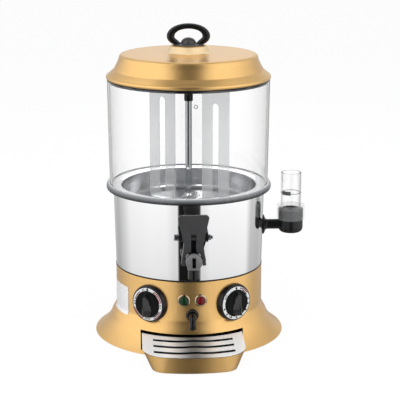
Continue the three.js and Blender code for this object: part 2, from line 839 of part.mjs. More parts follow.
// The tap, in a radial mount at the front: Z runs out of the machine, Y is up from the valve's axis.
const tap = {
  height: 150.5,
  washer: 2.4,
  washerRadius: 17,
  flange: 16,
  flangeThick: 4,
  socket: 5,
  seatWall: 3,
  seatBore: 6,
  barrel: 11,
  chamber: 8.3,
  reach: 50.6, // from the shell to the barrel's front end
  nozzleReach: 41.6,
  skirtRadius: 8.9,
  skirtDrop: 13.5,
  nozzleRadius: 7.8,
  nozzleBore: 5.5,
  nozzleNeck: 6.6,
  nozzleDrop: 28,
  nozzleInsert: 5,
  capRadius: 12,
  capDepth: 8,
  capPlug: 4,
  capSlotWidth: 5,
  capSlotHeight: 13,
  capSlotDepth: 4,
};
const yoke = {
  half: 20.8,
  ear: 4,
  thick: 5.5,
  earLow: 22,
  earHigh: 39,
  earReach: 5,
  footHalf: 12.5,
  foot: 5,
};
const lever = {
  pivotRise: 31,
  throwAngle: 16,
  boss: 5.8,
  plate: 5.5,
  lead: 5,
  topHalf: 22,
  top: 65,
  topCorner: 5,
  waistHalf: 13.2,
  waist: 22,
  lobeHalf: 17,
  lobeRise: 2,
  lobeLow: 7.8,
  lobeCorner: 4,
  forkHalf: 12.4,
  forkRadius: 13.8,
  shoulder: 37,
  cheek: 4,
  cheekLean: 0.13, // how far the cheeks spread for each millimetre down
  cheekDepth: 13,
  slotHalf: 3.8,
  slotTop: 37.5,
};
const pivot = { radius: 2.5, head: 4.4, headLong: 6.2, end: 6.6, nut: 4.2, nutThick: 3.4 };
const pin = { radius: 2, behindNozzle: 2 };
const plug = { radius: 7.8, thick: 6, nose: 1.6 };
const plunger = { stem: 3, collar: 6.6, collarThick: 3, collarBack: 16, nose: 8 };
const spring = { radius: 5.4, wire: 0.5, turns: 6 };

const shellAtTap = shellRadiusAt(tap.height);
const tapBack = shellAtTap + gap + tap.washer + gap;
const socketEnd = tapBack + tap.socket;
const seatFront = socketEnd + tap.seatWall;
const barrelFront = shellAtTap + tap.reach;
const nozzleAxis = shellAtTap + tap.nozzleReach;
const halfThrow = THREE.MathUtils.degToRad(lever.throwAngle / 2);
const stroke = 2 * lever.pivotRise * Math.tan(halfThrow);
const pinRest = nozzleAxis - pin.behindNozzle;
const pivotReach = pinRest - stroke / 2;
const collarFront = pinRest - plunger.collarBack + plunger.collarThick;
const outletDistance = bathInside - outlet.wallDistance;
const drainPipeDistance = baseInside - drain.wallDistance;

function makeTap() {
  const mount = radialMount(0, tap.height);
  const reachDown = tap.nozzleDrop + overrun;

  const washerBack = shellAtTap - overrun;
  const washerDisc = ring(outlet.radius + gap, tap.washerRadius, washerBack, tapBack - gap, facets.round);
  const washer = solidOf(washerDisc).subtract(shellSaddle(0, tap.height));
  addPiece(mount, 'tap_washer', washer, finishes.silicone);

  // Body: flange and barrel, then the yoke that carries the lever, then the skirt of the nozzle
  const upright = (radius, low, high, count) => solidOf(rod(radius, low, high, count).rotateX(-quarterTurn));
  const hanging = (radius, drop, count) =>
    upright(radius, 0, drop, count).rotate([180, 0, 0]).translate(0, 0, nozzleAxis);
  const yokeShape = new THREE.Shape([
    new THREE.Vector2(-yoke.footHalf, -yoke.foot),
    new THREE.Vector2(yoke.footHalf, -yoke.foot),
    new THREE.Vector2(yoke.half, yoke.earLow),
    new THREE.Vector2(yoke.half, yoke.earHigh),
    new THREE.Vector2(-yoke.half, yoke.earHigh),
    new THREE.Vector2(-yoke.half, yoke.earLow),
  ]);
  const yokeBack = slab(yokeShape, tapBack, tapBack + yoke.thick, 1);
  const earFront = pivotReach + yoke.earReach;
  const earHeight = yoke.earHigh - yoke.earLow;
  const earMiddle = (yoke.earHigh + yoke.earLow) / 2;
  const ear = block(yoke.ear, earHeight, tapBack, earFront).translate(0, earMiddle, 0);
  const earPlace = yoke.half - yoke.ear / 2;
  const pinRoom = pin.radius + gap;
  const pinBack = pinRest - stroke - pinRoom;
  const pinSlot = block(tap.barrel * 2 + overrun, pinRoom * 2, pinBack, pinRest + pinRoom);
  const pinHole = rod(pivot.radius + gap, -yoke.half - overrun, yoke.half + overrun, facets.tiny)
    .rotateY(quarterTurn)
    .translate(0, lever.pivotRise, pivotReach);
  const body = solidOf(rod(tap.flange, tapBack, tapBack + tap.flangeThick, facets.round))
    .add(solidOf(rod(tap.barrel, tapBack, barrelFront, facets.round)))
    .add(solidOf(yokeBack))
    .add(solidOf(ear.clone().translate(earPlace, 0, 0)))
    .add(solidOf(ear.clone().translate(-earPlace, 0, 0)))
    .add(hanging(tap.skirtRadius, tap.skirtDrop, facets.round))
    .subtract(solidOf(rod(outlet.radius + gap, tapBack - overrun, socketEnd, facets.round)))
    .subtract(solidOf(rod(tap.seatBore, tapBack, seatFront + overrun, facets.small)))
    .subtract(solidOf(rod(tap.chamber, seatFront, barrelFront + overrun, facets.round)))
    .subtract(hanging(tap.nozzleNeck + gap, reachDown, facets.small))
    .subtract(solidOf(pinSlot))
    .subtract(solidOf(pinHole));
  addPiece(mount, 'tap_body', body, finishes.blackPlastic);

  const capShares = [[1, 0.3], [0.93, 0.62], [0.74, 0.86], [0.42, 0.97]];
  const capBack = barrelFront + gap;
  const capProfile = [
    [0, barrelFront - tap.capPlug],
    [tap.chamber - gap, barrelFront - tap.capPlug],
    [tap.chamber - gap, capBack],
    [tap.capRadius, capBack],
    ...capShares.map(([out, along]) => [out * tap.capRadius, capBack + along * tap.capDepth]),
    [0, capBack + tap.capDepth],
  ];
  const capFront = capBack + tap.capDepth;
  const capSlot = block(tap.capSlotWidth, tap.capSlotHeight, capFront - tap.capSlotDepth, capFront + overrun);
  const capBody = solidOf(turned(capProfile, facets.round)).subtract(solidOf(capSlot));
  addPiece(mount, 'tap_cap', capBody, finishes.greyPlastic);

  const skirtLow = -tap.skirtDrop - gap;
  const nozzleProfile = [
    [tap.nozzleBore, -tap.nozzleDrop],
    [tap.nozzleRadius, -tap.nozzleDrop],
    [tap.nozzleRadius, skirtLow],
    [tap.nozzleNeck, skirtLow],
    [tap.nozzleNeck, skirtLow + tap.nozzleInsert],
    [tap.nozzleBore, skirtLow + tap.nozzleInsert],
  ];
  const nozzle = turned(nozzleProfile, facets.small).rotateX(-quarterTurn).translate(0, 0, nozzleAxis);
  addPiece(mount, 'tap_nozzle', nozzle, finishes.blackPlastic);

  makeLever(mount);
  makeValve(mount);
}

function makeLever(mount) {
  const plateBack = pivotReach + lever.lead;
  const plateFront = plateBack + lever.plate;
  const forkRise = Math.sqrt(lever.forkRadius ** 2 - lever.forkHalf ** 2);
  const forkAngle = Math.atan2(forkRise, lever.forkHalf);
  const slotAngle = Math.acos(lever.slotHalf / lever.forkRadius);
  const shape = new THREE.Shape();
  shape.moveTo(lever.forkHalf, -lever.lobeLow);
  shape.lineTo(lever.lobeHalf - lever.lobeCorner, -lever.lobeLow);
  shape.quadraticCurveTo(lever.lobeHalf, -lever.lobeLow, lever.lobeHalf, -lever.lobeLow + lever.lobeCorner);
  shape.lineTo(lever.lobeHalf, lever.lobeRise);
  shape.lineTo(lever.waistHalf, lever.waist);
  shape.lineTo(lever.topHalf, lever.top - lever.topCorner);
  shape.quadraticCurveTo(lever.topHalf, lever.top, lever.topHalf - lever.topCorner, lever.top);
  shape.lineTo(-lever.topHalf + lever.topCorner, lever.top);
  shape.quadraticCurveTo(-lever.topHalf, lever.top, -lever.topHalf, lever.top - lever.topCorner);
  shape.lineTo(-lever.waistHalf, lever.waist);
  shape.lineTo(-lever.lobeHalf, lever.lobeRise);
  shape.lineTo(-lever.lobeHalf, -lever.lobeLow + lever.lobeCorner);
  const lobeInner = lever.lobeHalf - lever.lobeCorner;
  shape.quadraticCurveTo(-lever.lobeHalf, -lever.lobeLow, -lobeInner, -lever.lobeLow);
  shape.lineTo(-lever.forkHalf, -lever.lobeLow);
  shape.absarc(0, 0, lever.forkRadius, Math.PI - forkAngle, Math.PI - slotAngle, true);
  shape.lineTo(-lever.slotHalf, lever.slotTop);
  shape.lineTo(lever.slotHalf, lever.slotTop);
  shape.absarc(0, 0, lever.forkRadius, slotAngle, forkAngle, true);
  shape.closePath();
  const plate = slab(shape, plateBack, plateFront, 3);
  const bossHalf = yoke.half - yoke.ear - running;
  const boss = rod(lever.boss, -bossHalf, bossHalf, facets.small)
    .rotateY(quarterTurn)
    .translate(0, lever.pivotRise, pivotReach);
  const bore = rod(pivot.radius + gap, -bossHalf - overrun, bossHalf + overrun, facets.tiny)
    .rotateY(quarterTurn)
    .translate(0, lever.pivotRise, pivotReach);

  // Each cheek hangs beside the barrel and holds one end of the cross pin in a slot that opens downwards.
  const cheekBack = plateFront - lever.cheekDepth;
  const cheekShape = new THREE.Shape();
  cheekShape.moveTo(plateFront - lever.plate / 2, lever.shoulder);
  cheekShape.lineTo(pivotReach, lever.pivotRise);
  cheekShape.lineTo(cheekBack, lever.waist);
  cheekShape.lineTo(cheekBack, -lever.lobeLow / 2);
  cheekShape.quadraticCurveTo(cheekBack, -lever.lobeLow, cheekBack + lever.cheek / 2, -lever.lobeLow);
  cheekShape.lineTo(plateFront - lever.plate / 2, -lever.lobeLow);
  cheekShape.closePath();
  const outside = lever.lobeHalf - gap;
  const lean = new THREE.Matrix4().makeShear(0, 0, -lever.cheekLean, 0, 0, 0);
  const uprightCheek = slab(cheekShape, 0, lever.cheek, 3).rotateY(-quarterTurn);
  const rightCheek = uprightCheek.translate(outside, 0, 0).applyMatrix4(lean);
  const leftCheek = rightCheek.clone().scale(-1, 1, 1);
  const slotWidth = (pin.radius + gap) * 2;
  const slotHigh = pin.radius + gap;
  const slotLow = -lever.lobeLow - overrun;
  const slot = block(lever.topHalf * 2, slotWidth, 0, slotHigh - slotLow)
    .rotateX(-quarterTurn)
    .translate(0, slotLow - lever.pivotRise, 0)
    .rotateX(-halfThrow)
    .translate(0, lever.pivotRise, pivotReach);
  const solid = solidOf(plate)
    .add(solidOf(boss))
    .add(solidOf(rightCheek))
    .add(solidOf(leftCheek))
    .subtract(solidOf(bore))
    .subtract(solidOf(slot));
  addPiece(mount, 'tap_lever', solid, finishes.blackPlastic);

  const boltAlong = (geometry) => geometry.rotateY(quarterTurn).translate(0, lever.pivotRise, pivotReach);
  const headSide = -yoke.half - gap;
  const boltProfile = [
    [0, headSide - pivot.headLong],
    [pivot.head, headSide - pivot.headLong],
    [pivot.head, headSide],
    [pivot.radius, headSide],
    [pivot.radius, yoke.half + pivot.end],
    [0, yoke.half + pivot.end],
  ];
  addPiece(mount, 'tap_pivot_bolt', boltAlong(turned(boltProfile, facets.tiny)), finishes.plainSteel);
  const nutLow = yoke.half + gap;
  const nut = solidOf(slab(regularShape(pivot.nut, 6), nutLow, nutLow + pivot.nutThick, 1)).subtract(
    solidOf(rod(pivot.radius + gap, nutLow - overrun, nutLow + pivot.nutThick + overrun, facets.tiny)),
  );
  addPiece(mount, 'tap_pivot_nut', boltAlong(geometryOf(nut)), finishes.plainSteel);
}

function makeValve(mount) {
  const plugFront = socketEnd - gap;
  const plugBack = plugFront - plug.thick;
  const plugProfile = [
    [plunger.stem + gap, plugBack],
    [plug.radius - plug.nose, plugBack],
    [plug.radius, plugBack + plug.nose],
    [plug.radius, plugFront],
    [plunger.stem + gap, plugFront],
  ];
  addPiece(mount, 'tap_plug', turned(plugProfile, facets.small), finishes.silicone);

  const collarBack = collarFront - plunger.collarThick;
  const stemProfile = [
    [0, plugBack - gap - plunger.stem],
    [plunger.stem * 1.6, plugBack - gap - plunger.stem],
    [plunger.stem * 1.6, plugBack - gap],
    [plunger.stem, plugBack - gap],
    [plunger.stem, collarBack],
    [plunger.collar, collarBack],
    [plunger.collar, collarFront],
    [plunger.stem, collarFront],
    [plunger.stem, pinRest + plunger.nose - pin.radius],
    [0, pinRest + plunger.nose - pin.radius],
  ];
  const pinHalf = lever.lobeHalf - gap;
  const pinRod = rod(pin.radius, -pinHalf, pinHalf, facets.tiny);
  const crossPin = pinRod.rotateY(quarterTurn).translate(0, 0, pinRest);
  const stem = solidOf(turned(stemProfile, facets.small)).add(solidOf(crossPin));
  addPiece(mount, 'tap_plunger', stem, finishes.plainSteel);

  class Coil extends THREE.Curve {
    getPoint(share, target = new THREE.Vector3()) {
      const angle = fullTurn * spring.turns * share;
      const low = seatFront + gap + spring.wire;
      const high = collarBack - gap - spring.wire;
      const across = spring.radius * Math.cos(angle);
      return target.set(across, spring.radius * Math.sin(angle), low + (high - low) * share);
    }
  }
  const wire = bar(new Coil(), spring.wire, 0, 5, spring.turns * 8);
  addPiece(mount, 'tap_spring', wire, finishes.plainSteel);
}

// Tube that leads from the pan's floor down and forward to the tap
function makeOutlet() {
  const bore = outlet.radius - outlet.wall;
  const top = panFloor - pan.wall - gap;
  const low = tap.height - outlet.radius - outlet.floor;
  const forward = (radius, from, to) =>
    solidOf(rod(radius, from, to, facets.round).rotateX(quarterTurn).translate(0, 0, tap.height));
  const down = (radius, from, to) =>
    solidOf(rod(radius, from, to, facets.round).translate(0, -outletDistance, 0));
  const elbow = down(outlet.radius, low, top)
    .add(forward(outlet.radius, outletDistance, socketEnd - gap))
    .subtract(down(bore, low + outlet.floor, top + overrun))
    .subtract(forward(bore, outletDistance, socketEnd + overrun));
  addPiece(machine, 'outlet_elbow', elbow, finishes.plainSteel);
}

// The filler for the water bath, on the right: elbow, nut, sight tube and clear collar
function makeFiller() {
  const mount = radialMount(90, fillerHeight);
  const wallRadius = shellRadiusAt(fillerHeight);
  const axis = wallRadius + filler.reach;
  const upright = (radius, low, high, count) =>
    solidOf(rod(radius, low, high, count).rotateX(-quarterTurn).translate(0, 0, axis));
  const cupBottom = -filler.cupLow;
  const cupTop = filler.cupHigh;
  const spigotEnd = bathInside - filler.nutThick - overrun;
  const flangeFront = wallRadius + gap + filler.flangeThick;
  const cupProfile = [
    [0, cupBottom],
    [filler.cup * 0.62, cupBottom],
    [filler.cup * 0.9, cupBottom + filler.cup * 0.1],
    [filler.cup, cupBottom + filler.cup * 0.36],
    [filler.cup, cupTop],
    [0, cupTop],
  ];
  const flareProfile = [
    [0, wallRadius - overrun],
    [filler.flange, wallRadius - overrun],
    [filler.flange, wallRadius + gap + filler.flangeThick / 2],
    [filler.arm, flangeFront + filler.flangeThick],
    [0, flangeFront + filler.flangeThick],
  ];
  const flange = solidOf(turned(flareProfile, facets.round)).subtract(shellSaddle(90, fillerHeight));
  const cupSolid = solidOf(turned(cupProfile, facets.round).rotateX(-quarterTurn).translate(0, 0, axis));
  const elbow = flange
    .add(solidOf(rod(filler.spigot, spigotEnd, axis, facets.small)))
    .add(solidOf(rod(filler.arm, flangeFront, axis, facets.small)))
    .add(cupSolid)
    .subtract(upright(sight.radius + gap, cupBottom + filler.cupFloor, cupTop + overrun, facets.round))
    .subtract(solidOf(rod(filler.armBore, spigotEnd - overrun, axis, facets.small)));
  addPiece(mount, 'filler_elbow', elbow, finishes.blackPlastic);

  const nutFace = Math.sqrt(bathInside ** 2 - filler.nutRadius ** 2) - gap;
  const nutBack = nutFace - filler.nutThick;
  const nut = solidOf(slab(regularShape(filler.nutRadius, 6), nutBack, nutFace, 1)).subtract(
    solidOf(rod(filler.spigot + gap, nutBack - overrun, nutFace + overrun, facets.small)),
  );
  addPiece(mount, 'filler_nut', nut, finishes.blackPlastic);

  const stand = (geometry) => geometry.rotateX(-quarterTurn).translate(0, 0, axis);
  const tubeLow = cupBottom + filler.cupFloor + gap;
  const tube = ring(sight.radius - sight.wall, sight.radius, tubeLow, cupTop + sight.above, facets.round);
  addPiece(mount, 'sight_tube', stand(tube), finishes.clearPlastic);

  const collarInner = filler.cup + sight.seatGap;
  const lipLow = cupTop + gap;
  const collarProfile = [
    [collarInner, cupTop - collar.below],
    [collarInner + collar.wall, cupTop - collar.below],
    [collarInner + collar.wall, cupTop + collar.above],
    [collarInner, cupTop + collar.above],
    [collarInner, lipLow + collar.lip],
    [sight.radius + sight.seatGap, lipLow + collar.lip],
    [sight.radius + sight.seatGap, lipLow],
    [collarInner, lipLow],
  ];
  addPiece(mount, 'filler_collar', stand(turned(collarProfile, facets.round)), finishes.clearPlastic);
  return axis + collarInner + collar.wall;
}

// Overflow and drain of the bath: grommet, bent spout, and the pipe behind it
function makeDrain() {
  const mount = radialMount(0, drain.height);
  const grommetProfile = [
    [drain.radius + gap, baseRadius - overrun],
    [drain.grommetRadius, baseRadius - overrun],
    [drain.grommetRadius, baseRadius + drain.grommet / 2],
    [drain.grommetRadius - drain.grommet / 2, baseRadius + drain.grommet],
    [drain.radius + gap, baseRadius + drain.grommet],
  ];
  const grommet = solidOf(turned(grommetProfile, facets.small)).subtract(housingSaddle(0, drain.height));
  addPiece(mount, 'drain_grommet', grommet, finishes.rubber);

  const bend = (out, up, radius, towards) => {
    const half = radius * Math.tan(quarterTurn / 4);
    return new THREE.CubicBezierCurve3(
      new THREE.Vector3(0, up, out),
      new THREE.Vector3(0, up, out + towards * half * 1.33),
      new THREE.Vector3(0, up - towards * (radius - half * 1.33), out + towards * radius),
      new THREE.Vector3(0, up - towards * radius, out + towards * radius),
    );
  };
  const joint = baseInside - drain.out * 2;
  const out = baseRadius + drain.out;
  const straight = (fromY, fromZ, toY, toZ) =>
    new THREE.LineCurve3(new THREE.Vector3(0, fromY, fromZ), new THREE.Vector3(0, toY, toZ));
  const spoutPath = new THREE.CurvePath();
  spoutPath.add(straight(0, joint, 0, out));
  spoutPath.add(bend(out, 0, drain.bend, 1));
  const end = out + drain.bend;
  spoutPath.add(straight(-drain.bend, end, -drain.bend - drain.drop, end));
  const spout = bar(spoutPath, drain.radius, drain.bore, facets.tiny, pathSteps.pipe);
  addPiece(mount, 'drain_spout', spout, finishes.blackPlastic);

  const riserTop = bathFloor - drain.height;
  const pipePath = new THREE.CurvePath();
  pipePath.add(straight(0, joint - gap, 0, drainPipeDistance + drain.bend));
  pipePath.add(bend(drainPipeDistance + drain.bend, 0, drain.bend, -1));
  pipePath.add(straight(drain.bend, drainPipeDistance, riserTop, drainPipeDistance));
  const pipe = bar(pipePath, drain.radius, drain.bore, facets.tiny, pathSteps.pipe);
  addPiece(mount, 'drain_pipe', pipe, finishes.plainSteel);
}

// Left and right controls: bezel and dial fixed to the housing, knob and spindle that turn, switch behind
function makeControl(side, sign) {
  const mount = radialMount(sign * controls.angle, controls.height);
  const face = baseRadius + bezel.height;
  const spindleBore = spindle.radius + running;
  const bezelProfile = [
    [spindleBore, baseRadius - bezel.height],
    [bezel.radius, baseRadius - bezel.height],
    [bezel.radius, baseRadius + bezel.height / 4],
    [bezel.faceRadius, face],
    [spindleBore, face],
  ];
  const whole = solidOf(turned(bezelProfile, facets.ring));
  const bezelSolid = whole.subtract(housingSaddle(sign * controls.angle, controls.height));
  addPiece(mount, `knob_bezel_${side}`, bezelSolid, finishes.blackPlastic);

  const dialBack = face + gap;
  const dialRing = ring(dial.inner, dial.outer, dialBack, dialBack + dial.thick, facets.ring);
  addPiece(mount, `dial_${side}`, dialRing, finishes.dialFoil);

  const knobBack = face + running;
  const knobBase = knobBack + knob.base;
  const base = solidOf(
    turned(
      [
        [0, knobBack],
        [knob.radius, knobBack],
        [knob.radius, knobBase - knob.base / 3],
        [knob.radius - knob.base / 3, knobBase],
        [0, knobBase],
      ],
      facets.ring,
    ),
  );
  const halfLong = knob.gripLength / 2;
  const gripRing = (halfWidth, height) => [
    [-halfWidth, -halfLong, height],
    [halfWidth, -halfLong, height],
    [halfWidth, halfLong, height],
    [-halfWidth, halfLong, height],
  ];
  const gripFront = knobBase + knob.gripHeight;
  const grip = loft([
    gripRing(knob.gripWidth / 2, knobBase - gap),
    gripRing(knob.gripTop / 2, gripFront),
  ]);
  const gripRound = rod(knob.radius - gap, knobBack, gripFront + gap, facets.ring);
  const trimmed = solidOf(grip).intersect(solidOf(gripRound));
  const blind = knobBack + knob.bore;
  const spindleWay = rod(spindle.radius + gap, knobBack - overrun, blind, facets.tiny);
  const solid = base.add(trimmed).subtract(solidOf(spindleWay));
  addPiece(mount, `knob_${side}`, solid, finishes.blackPlastic);

  const collarEnd = baseInside - gap;
  const bodyFront = collarEnd - switchBody.collar;
  const bodyBack = bodyFront - switchBody.length;
  const spindleBack = bodyFront - switchBody.length / 2;
  const spindleRod = rod(spindle.radius, spindleBack, blind - gap, facets.tiny);
  addPiece(mount, `spindle_${side}`, spindleRod, finishes.plainSteel);

  const bodyProfile = [
    [0, bodyBack],
    [switchBody.radius, bodyBack],
    [switchBody.radius, bodyFront],
    [switchBody.collarRadius, bodyFront],
    [switchBody.collarRadius, collarEnd],
    [spindleBore, collarEnd],
    [spindleBore, spindleBack - gap],
    [0, spindleBack - gap],
  ];
  const kind = sign < 0 ? 'thermostat' : 'regulator';
  addPiece(mount, kind, turned(bodyProfile, facets.small), finishes.greyPlastic);
}

function makeLamp(colour, sign, finish) {
  const mount = radialMount(sign * lamp.angle, lamp.height);
  const back = baseRadius + gap;
  const front = back + lamp.bezelHeight;
  const hole = lamp.lensRadius + gap;
  const bezelProfile = [
    [hole, back],
    [lamp.bezelRadius, back],
    [lamp.bezelRadius, back + lamp.bezelHeight / 2],
    [(lamp.bezelRadius + hole) / 2, front],
    [hole, front],
  ];
  addPiece(mount, `lamp_bezel_${colour}`, turned(bezelProfile, facets.round), finishes.polishedSteel);
  const lensProfile = [
    [0, front - lamp.depth],
    [lamp.lensRadius, front - lamp.depth],
    [lamp.lensRadius, front],
    [lamp.lensRadius * 0.8, front + lamp.dome * 0.7],
    [0, front + lamp.dome],
  ];
  addPiece(mount, `lamp_lens_${colour}`, turned(lensProfile, facets.small), finish);
}

function makeCordGland() {
  const mount = radialMount(cord.angle, cord.height);
  const neck = cord.radius - cord.collar;
  const profile = [
    [cord.bore, baseInside - cord.collar],
    [neck, baseInside - cord.collar],
    [neck, baseRadius + gap],
    [cord.radius, baseRadius + gap],
    [cord.radius, baseRadius + cord.collar],
    [neck - cord.collar / 3, baseRadius + cord.stand],
    [cord.bore, baseRadius + cord.stand],
  ];
  addPiece(mount, 'cord_gland', turned(profile, facets.small), finishes.blackPlastic);
}

// Outline of the tray or its grate, seen from above: straight sides, round corners and a front
// bowed round the body
function trayOutline(halfWidth, front, corner, height, backEdge) {
  const centreX = halfWidth - corner;
  const centreY = -Math.sqrt((front - corner) ** 2 - centreX ** 2);
  const points = [];
  const cornerSteps = 5;
  const frontSteps = 8;
  const turnIn = Math.atan2(centreY, centreX);
  for (let i = 0; i <= cornerSteps; i += 1) {
    const angle = (turnIn * i) / cornerSteps;
    points.push([centreX + corner * Math.cos(angle), centreY + corner * Math.sin(angle), height]);
  }
  for (let i = 1; i < frontSteps; i += 1) {
    const angle = turnIn + ((-Math.PI - 2 * turnIn) * i) / frontSteps;
    points.push([front * Math.cos(angle), front * Math.sin(angle), height]);
  }
  for (let i = cornerSteps; i >= 0; i -= 1) {
    const [x, y] = points[i];
    points.push([-x, y, height]);
  }
  return [...points, ...backEdge.map(([x, y]) => [x, y, height])];
}

function makeTray() {
  const body = (share, height, inset) => {
    const half = tray.halfWidth - tray.taper * share - inset;
    const corner = tray.corner + (tray.footCorner - tray.corner) * share - inset;
    const back = tray.back + inset;
    const front = tray.front - tray.frontTaper * share - inset;
    return trayOutline(half, front, corner, height, [[-half, -back], [half, -back]]);
  };
  const step = plateTop + gap;
  const stepReach = rimRadius + tray.rimClear;
  const floorShare = 1 - tray.wall / (tray.top - tray.edge);
  const wide = tray.halfWidth * 4;
  const rear = block(wide, stepReach, tray.edge - overrun, step).translate(0, -stepReach / 2, 0);
  const keepReach = stepReach + tray.wall;
  const rearKeep = block(wide, keepReach, tray.edge, step + tray.wall).translate(0, -keepReach / 2, 0);
  const rimShare = -overrun / (tray.top - tray.edge);
  const hollowRings = [
    body(floorShare, tray.edge + tray.wall, tray.wall),
    body(rimShare, tray.top + overrun, tray.wall),
  ];
  const hollow = solidOf(loft(hollowRings));
  const solid = solidOf(loft([body(1, tray.edge, 0), body(0, tray.top, 0)]))
    .subtract(solidOf(rear))
    .subtract(hollow.subtract(solidOf(rearKeep)));
  addPiece(machine, 'drip_tray', solid, finishes.goldPaint);

  // The grate lies on the tray's edge and stops short of the housing's neck.
  const grateLow = tray.top + gap;
  const grateHigh = grateLow + grate.thick;
  const neckRadius = flareRadius(flarePoints, grateLow) + grate.neckClear;
  const half = tray.halfWidth;
  const backPoints = [];
  const backSteps = 8;
  const backAngle = Math.asin(half / neckRadius);
  for (let i = 0; i <= backSteps; i += 1) {
    const angle = backAngle * ((2 * i) / backSteps - 1);
    backPoints.push([neckRadius * Math.sin(angle), -neckRadius * Math.cos(angle)]);
  }
  const outline = (height) => trayOutline(half, tray.front, tray.corner, height, backPoints);
  let plate = solidOf(loft([outline(grateLow), outline(grateHigh)]));
  for (let i = 0; i < 3; i += 1) {
    const reach = neckRadius + grate.firstSlot + grate.slotPitch * i;
    plate = plate.subtract(solidOf(slab(slotShape(reach), grateLow - overrun, grateHigh + overrun, 4)));
  }
  addPiece(machine, 'drip_grate', plate, finishes.polishedSteel);
}

// A long slot that bows forward in two shallow waves with a small peak between them
function slotShape(reach) {
  const edge = (share) => {
    const bow = 1 - share ** 2;
    const peak = Math.exp(-((share * 4) ** 2));
    return -reach + grate.rise * (1 - bow) - grate.dip * (bow - peak);
  };
  const steps = 12;
  const front = [];
  const back = [];
  for (let i = 0; i <= steps; i += 1) {
    const share = (2 * i) / steps - 1;
    front.push(new THREE.Vector2(share * grate.slotHalf, edge(share) - grate.slotWidth / 2));
    back.push(new THREE.Vector2(share * grate.slotHalf, edge(share) + grate.slotWidth / 2));
  }
  return new THREE.Shape([...front, ...back.reverse()]);
}

makeHousing();
makeBasePlate();
makeShellAndBath();
makePan();
makeGasket();
makeJar();
makeLid();
makeHandle();
makeStirrer();
makeHeater();
makeOutlet();
makeTap();
const fillerReach = makeFiller();
makeDrain();
makeControl('left', -1);
makeControl('right', 1);
makeLamp('green', -1, finishes.greenLens);
makeLamp('red', 1, finishes.redLens);
makeCordGland();
makeTray();

// The origin lies on the table, under the middle of the whole machine.
machine.position.set((rimRadius - fillerReach) / 2, (tray.front - cordReach()) / 2, 0);

function cordReach() {
  return Math.max(rimRadius, baseRadius + cord.stand);
}

export default machine;
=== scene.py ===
import math
import bmesh
import bpy
from mathutils import Matrix, Vector
from mathutils.bvhtree import BVHTree
from mathutils.interpolate import poly_3d_calc


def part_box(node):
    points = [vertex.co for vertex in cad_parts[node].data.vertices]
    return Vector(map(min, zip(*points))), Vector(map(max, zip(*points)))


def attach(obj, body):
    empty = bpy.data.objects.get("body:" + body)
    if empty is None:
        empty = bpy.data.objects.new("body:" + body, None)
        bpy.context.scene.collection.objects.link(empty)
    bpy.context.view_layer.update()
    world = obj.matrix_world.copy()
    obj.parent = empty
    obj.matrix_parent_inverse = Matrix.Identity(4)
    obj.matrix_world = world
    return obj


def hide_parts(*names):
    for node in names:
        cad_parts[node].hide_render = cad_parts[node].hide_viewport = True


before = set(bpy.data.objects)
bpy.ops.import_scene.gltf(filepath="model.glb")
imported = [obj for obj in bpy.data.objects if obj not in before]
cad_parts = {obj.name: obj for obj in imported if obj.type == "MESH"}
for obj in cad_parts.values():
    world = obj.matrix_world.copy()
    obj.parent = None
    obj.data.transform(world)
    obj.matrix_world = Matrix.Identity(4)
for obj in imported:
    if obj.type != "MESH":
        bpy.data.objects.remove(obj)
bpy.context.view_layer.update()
scene = bpy.context.scene
nearly = 1e-6  # shorter than this counts as nothing
print("stage: frame loaded")

# Everything below is drawn in millimetres round the body's axis, and turned to metres when it is placed.
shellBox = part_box("outer_shell")
axisX = (shellBox[0].x + shellBox[1].x) / 2
axisY = (shellBox[0].y + shellBox[1].y) / 2
toMetres = Matrix.Translation((axisX, axisY, 0)) @ Matrix.Scale(0.001, 4)

# Camera: place and lens as the ellipses of the rims in the photograph give them
camera = {
    "azimuth": -3.0,
    "down": 13.84,
    "away": 2017.0,
    "aside": 16.85,
    "height": 696.5,
    "lens": 124.77,
    "sensor": 36.0,
}
cameraData = bpy.data.cameras.new("camera")
cameraData.lens = camera["lens"]
cameraData.sensor_width = camera["sensor"]
cameraData.clip_end = 80
cameraObject = bpy.data.objects.new("camera", cameraData)
scene.collection.objects.link(cameraObject)
cameraTurn = Matrix.Rotation(math.radians(camera["azimuth"]), 4, "Z")
cameraSpot = cameraTurn @ Vector((camera["aside"], -camera["away"], camera["height"]))
cameraObject.location = toMetres @ cameraSpot
cameraObject.rotation_euler = (math.radians(90 - camera["down"]), 0, math.radians(camera["azimuth"]))
scene.camera = cameraObject
scene.view_settings.view_transform = "Standard"


def colour(hexCode):
    parts = [int(hexCode[i:i + 2], 16) / 255 for i in (1, 3, 5)]
    return [p / 12.92 if p <= 0.04045 else ((p + 0.055) / 1.055) ** 2.4 for p in parts] + [1.0]


def addNode(tree, kind, settings=None, links=None):
    node = tree.nodes.new(kind)
    for name, value in (settings or {}).items():
        if isinstance(name, int) or name in node.inputs:
            node.inputs[name].default_value = value
        else:
            setattr(node, name, value)
    for name, socket in (links or {}).items():
        tree.links.new(socket, node.inputs[name])
    return node


